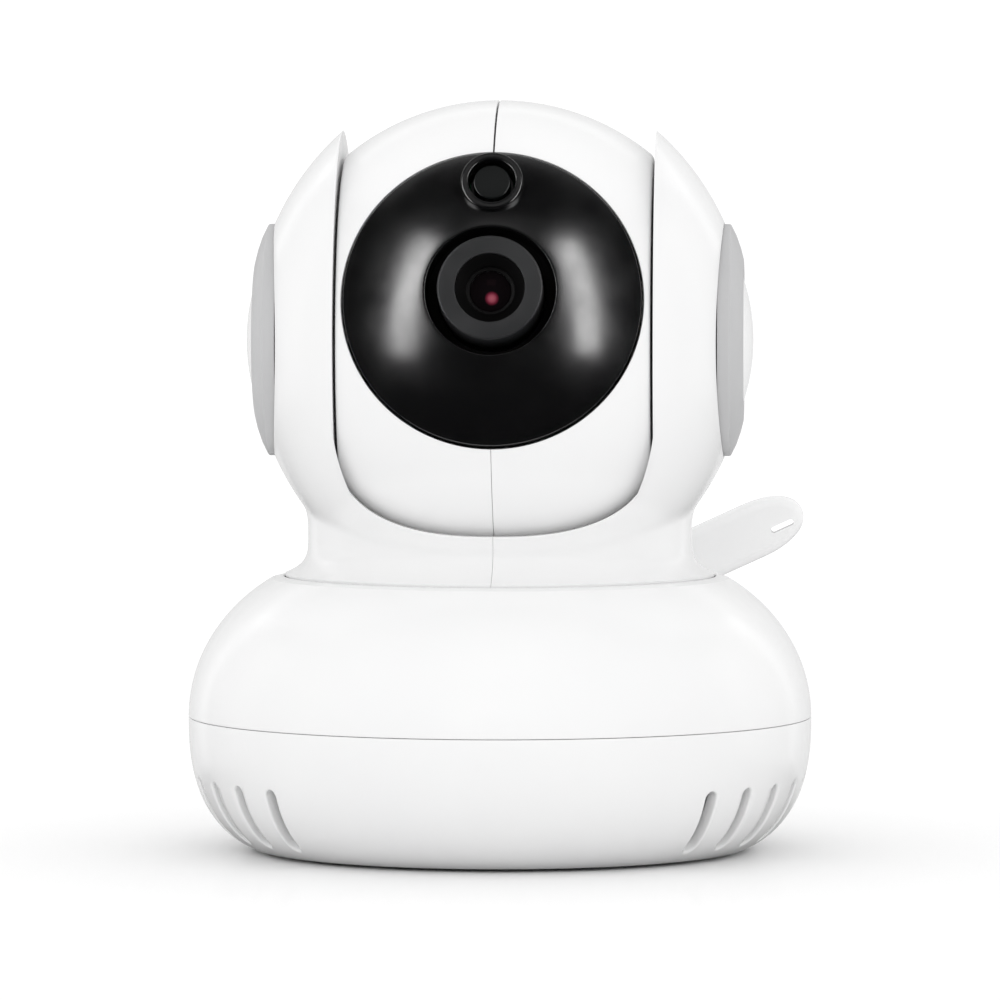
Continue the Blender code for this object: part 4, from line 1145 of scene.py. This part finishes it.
def make_lens():
    tube = [
        (LENS_OPENING_R, LENS_FRONT, 0.12 * MM),
        (LENS_R, LENS_FRONT, 0.35 * MM),
        (LENS_R, LENS_SHOULDER),
        (LENS_THREAD_R, LENS_SHOULDER),
        (LENS_THREAD_R, LENS_BACK),
        (LENS_BORE_R, LENS_BACK),
        (LENS_BORE_R, LENS_SEAT),
        (LENS_SEAT_R, LENS_SEAT),
        (LENS_SEAT_R, 35.6 * MM),
        (LENS_OPENING_R, 37.2 * MM),
    ]
    barrel = turned("lens_barrel_fine", soften(tube, 0.08 * MM, 4), 160, True, FACE_AXIS)
    finish_piece(barrel, "head", "lens_black", "lens_barrel")
    baffle = [
        (3.2 * MM, 35.75 * MM),
        (3.2 * MM, 36.0 * MM, 0.1 * MM),
        (3.75 * MM, 36.1 * MM, 0.1 * MM),
        (3.75 * MM, 36.7 * MM, 0.1 * MM),
        (LENS_OPENING_R - 0.1 * MM, LENS_FRONT - 0.35 * MM, 0.1 * MM),
        (LENS_OPENING_R - 0.01 * MM, LENS_FRONT - 0.45 * MM),
        (LENS_OPENING_R - 0.01 * MM, 37.3 * MM),
        (4.05 * MM, 35.75 * MM),
    ]
    funnel = turned("lens_baffle_fine", soften(baffle, 0.0, 4), 160, True, FACE_AXIS)
    # The funnel inside the opening takes the darker black: painted shade in the recess
    finish_piece(funnel, "head", "lens_black", "lens_barrel", material=SHADE_BLACK)
    # A black ring behind the gap round the lens, which stands for no CAD part: painted shade, so the gap
    # reads dark
    shade_ring_back, shade_ring_front = 29.2 * MM, 30.6 * MM
    shade_ring_outline = [
        (LENS_R + 0.2 * MM, shade_ring_back),
        (LENS_HOLE_R + 1.2 * MM, shade_ring_back),
        (LENS_HOLE_R + 1.2 * MM, shade_ring_front),
        (LENS_R + 0.2 * MM, shade_ring_front),
    ]
    shade_ring = turned("lens_gap_shade_ring", soften(shade_ring_outline, 0.15 * MM, 3), 96, True, FACE_AXIS)
    finish_piece(shade_ring, "head", "lens_black", material=SHADE_BLACK)
    outline = cap_dome(GLASS_R, GLASS_PEAK, GLASS_EDGE) + [(GLASS_R, GLASS_BACK), (0.0, GLASS_BACK)]
    glass = turned("lens_glass_fine", outline, 96, False, FACE_AXIS)
    finish_piece(glass, "head", "lens_glass", "lens_glass")


# CAD nodes that keep their own shape


def dress_nodes():
    """Gives each CAD node that is still shown the material of its slot."""
    slots = {part["node"]: part["material_slot"] for part in frame["record"]["subparts"]}
    for name, obj in frame["nodes"].items():
        if obj.hide_render:
            continue
        obj.data.materials.clear()
        obj.data.materials.append(MATERIALS[slots[name]])
        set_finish(obj, slots[name])


# Studio


def area_light(name, at, aim, width, height, radiance, glossy=True, diffuse=True, lights=None):
    """A softbox of a given brightness, whatever its size."""
    data = bpy.data.lights.new(name, "AREA")
    data.shape = "RECTANGLE"
    data.size = width
    data.size_y = height
    data.energy = radiance * math.pi * width * height
    lamp = bpy.data.objects.new(name, data)
    lamp.location = at
    lamp.rotation_euler = (Vector(aim) - Vector(at)).to_track_quat("-Z", "Y").to_euler()
    lamp.visible_glossy = glossy
    lamp.visible_diffuse = diffuse
    lamp.visible_camera = False
    if lights is not None:
        lamp.light_linking.receiver_collection = lights
    bpy.context.scene.collection.objects.link(lamp)


def make_floor():
    """A round white floor with a faint sheen, which melts into the background some way out."""
    bm = bmesh.new()
    bmesh.ops.create_circle(bm, cap_ends=True, segments=96, radius=FLOOR_R)
    mesh = bpy.data.meshes.new("floor")
    bm.to_mesh(mesh)
    bm.free()
    floor = as_object("floor", mesh)
    floor.visible_glossy = False
    material = bpy.data.materials.new("white_floor")
    material.use_nodes = True
    tree = material.node_tree
    tree.nodes.clear()
    matt = node(tree, "BsdfDiffuse", Color=FLOOR_WHITE)
    sheen = node(tree, "BsdfGlossy", Color=FLOOR_WHITE, Roughness=0.12)
    both = node(tree, "MixShader", Fac=FLOOR_SHEEN)
    tree.links.new(matt.outputs[0], both.inputs[1])
    tree.links.new(sheen.outputs[0], both.inputs[2])
    far = node(tree, "Emission", Color=WHITE, Strength=FAR_LIGHT)
    distance = node(tree, "VectorMath", [(place(tree), "Vector")])
    distance.operation = "LENGTH"
    fade = node(tree, "MapRange", [(distance.outputs["Value"], "Value")])
    fade.inputs["From Min"].default_value, fade.inputs["From Max"].default_value = FLOOR_FADE
    whole = node(tree, "MixShader", [(fade.outputs["Result"], "Fac")])
    tree.links.new(both.outputs[0], whole.inputs[1])
    tree.links.new(far.outputs[0], whole.inputs[2])
    out = tree.nodes.new("ShaderNodeOutputMaterial")
    tree.links.new(whole.outputs[0], out.inputs["Surface"])
    mesh.materials.append(material)


def make_studio():
    make_floor()
    world = bpy.data.worlds.new("studio")
    world.use_nodes = True
    background = world.node_tree.nodes["Background"]
    background.inputs["Color"].default_value = WHITE
    background.inputs["Strength"].default_value = WORLD_LIGHT
    world.cycles_visibility.glossy = False
    bpy.context.scene.world = world
    dark = bpy.data.collections.new("dark_pieces")  # the two strips light only these
    for obj in bpy.context.scene.objects:
        if obj.get("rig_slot", "white_shell") not in NOT_STRIP_LIT and not obj.hide_render:
            dark.objects.link(obj)
    for side in (-1, 1):
        azimuth = STRIP_AZIMUTH * side
        at = (STRIP_REACH * math.sin(azimuth), -STRIP_REACH * math.cos(azimuth), STRIP_Z)
        area_light(f"strip_{side}", at, LIGHT_AIM, 0.2, 0.9, 8.0, diffuse=False, lights=dark)
        area_light(f"side_{side}", (1.6 * side, 0.95, 0.4), LIGHT_AIM, 1.5, 1.6, 0.6, diffuse=False)
    area_light("overhead", (0, -0.75, 1.0), LIGHT_AIM, 0.5, 0.4, 0.28, diffuse=False)
    area_light("back", (0, 1.7, 0.4), LIGHT_AIM, 3.4, 1.6, 0.7, diffuse=False)
    area_light("ceiling", (0, 0.95, 1.4), (0, 0.3, 0), 3.0, 1.6, 0.7, diffuse=False)
    area_light("front_fill", (0.1, -2.2, 0.5), LIGHT_AIM, 1.6, 1.0, 1.1, glossy=False)
    bpy.context.scene.view_settings.view_transform = "Standard"


def make_camera():
    data = bpy.data.cameras.new("camera")
    data.lens = FOCAL_LENGTH
    data.sensor_width = SENSOR_WIDTH
    data.clip_start = 0.05
    data.clip_end = 60.0
    camera = bpy.data.objects.new("camera", data)
    camera.location = CAMERA_AT
    camera.rotation_euler = (Vector(CAMERA_AIM) - camera.location).to_track_quat("-Z", "Y").to_euler()
    bpy.context.scene.collection.objects.link(camera)
    bpy.context.scene.camera = camera


make_camera()
make_lower_shell()
make_upper_shell()
make_pad()
make_sockets()
make_reset()
make_antenna()
make_yoke()
make_ears()
make_head()
make_face()
make_lens()
dress_nodes()
make_studio()
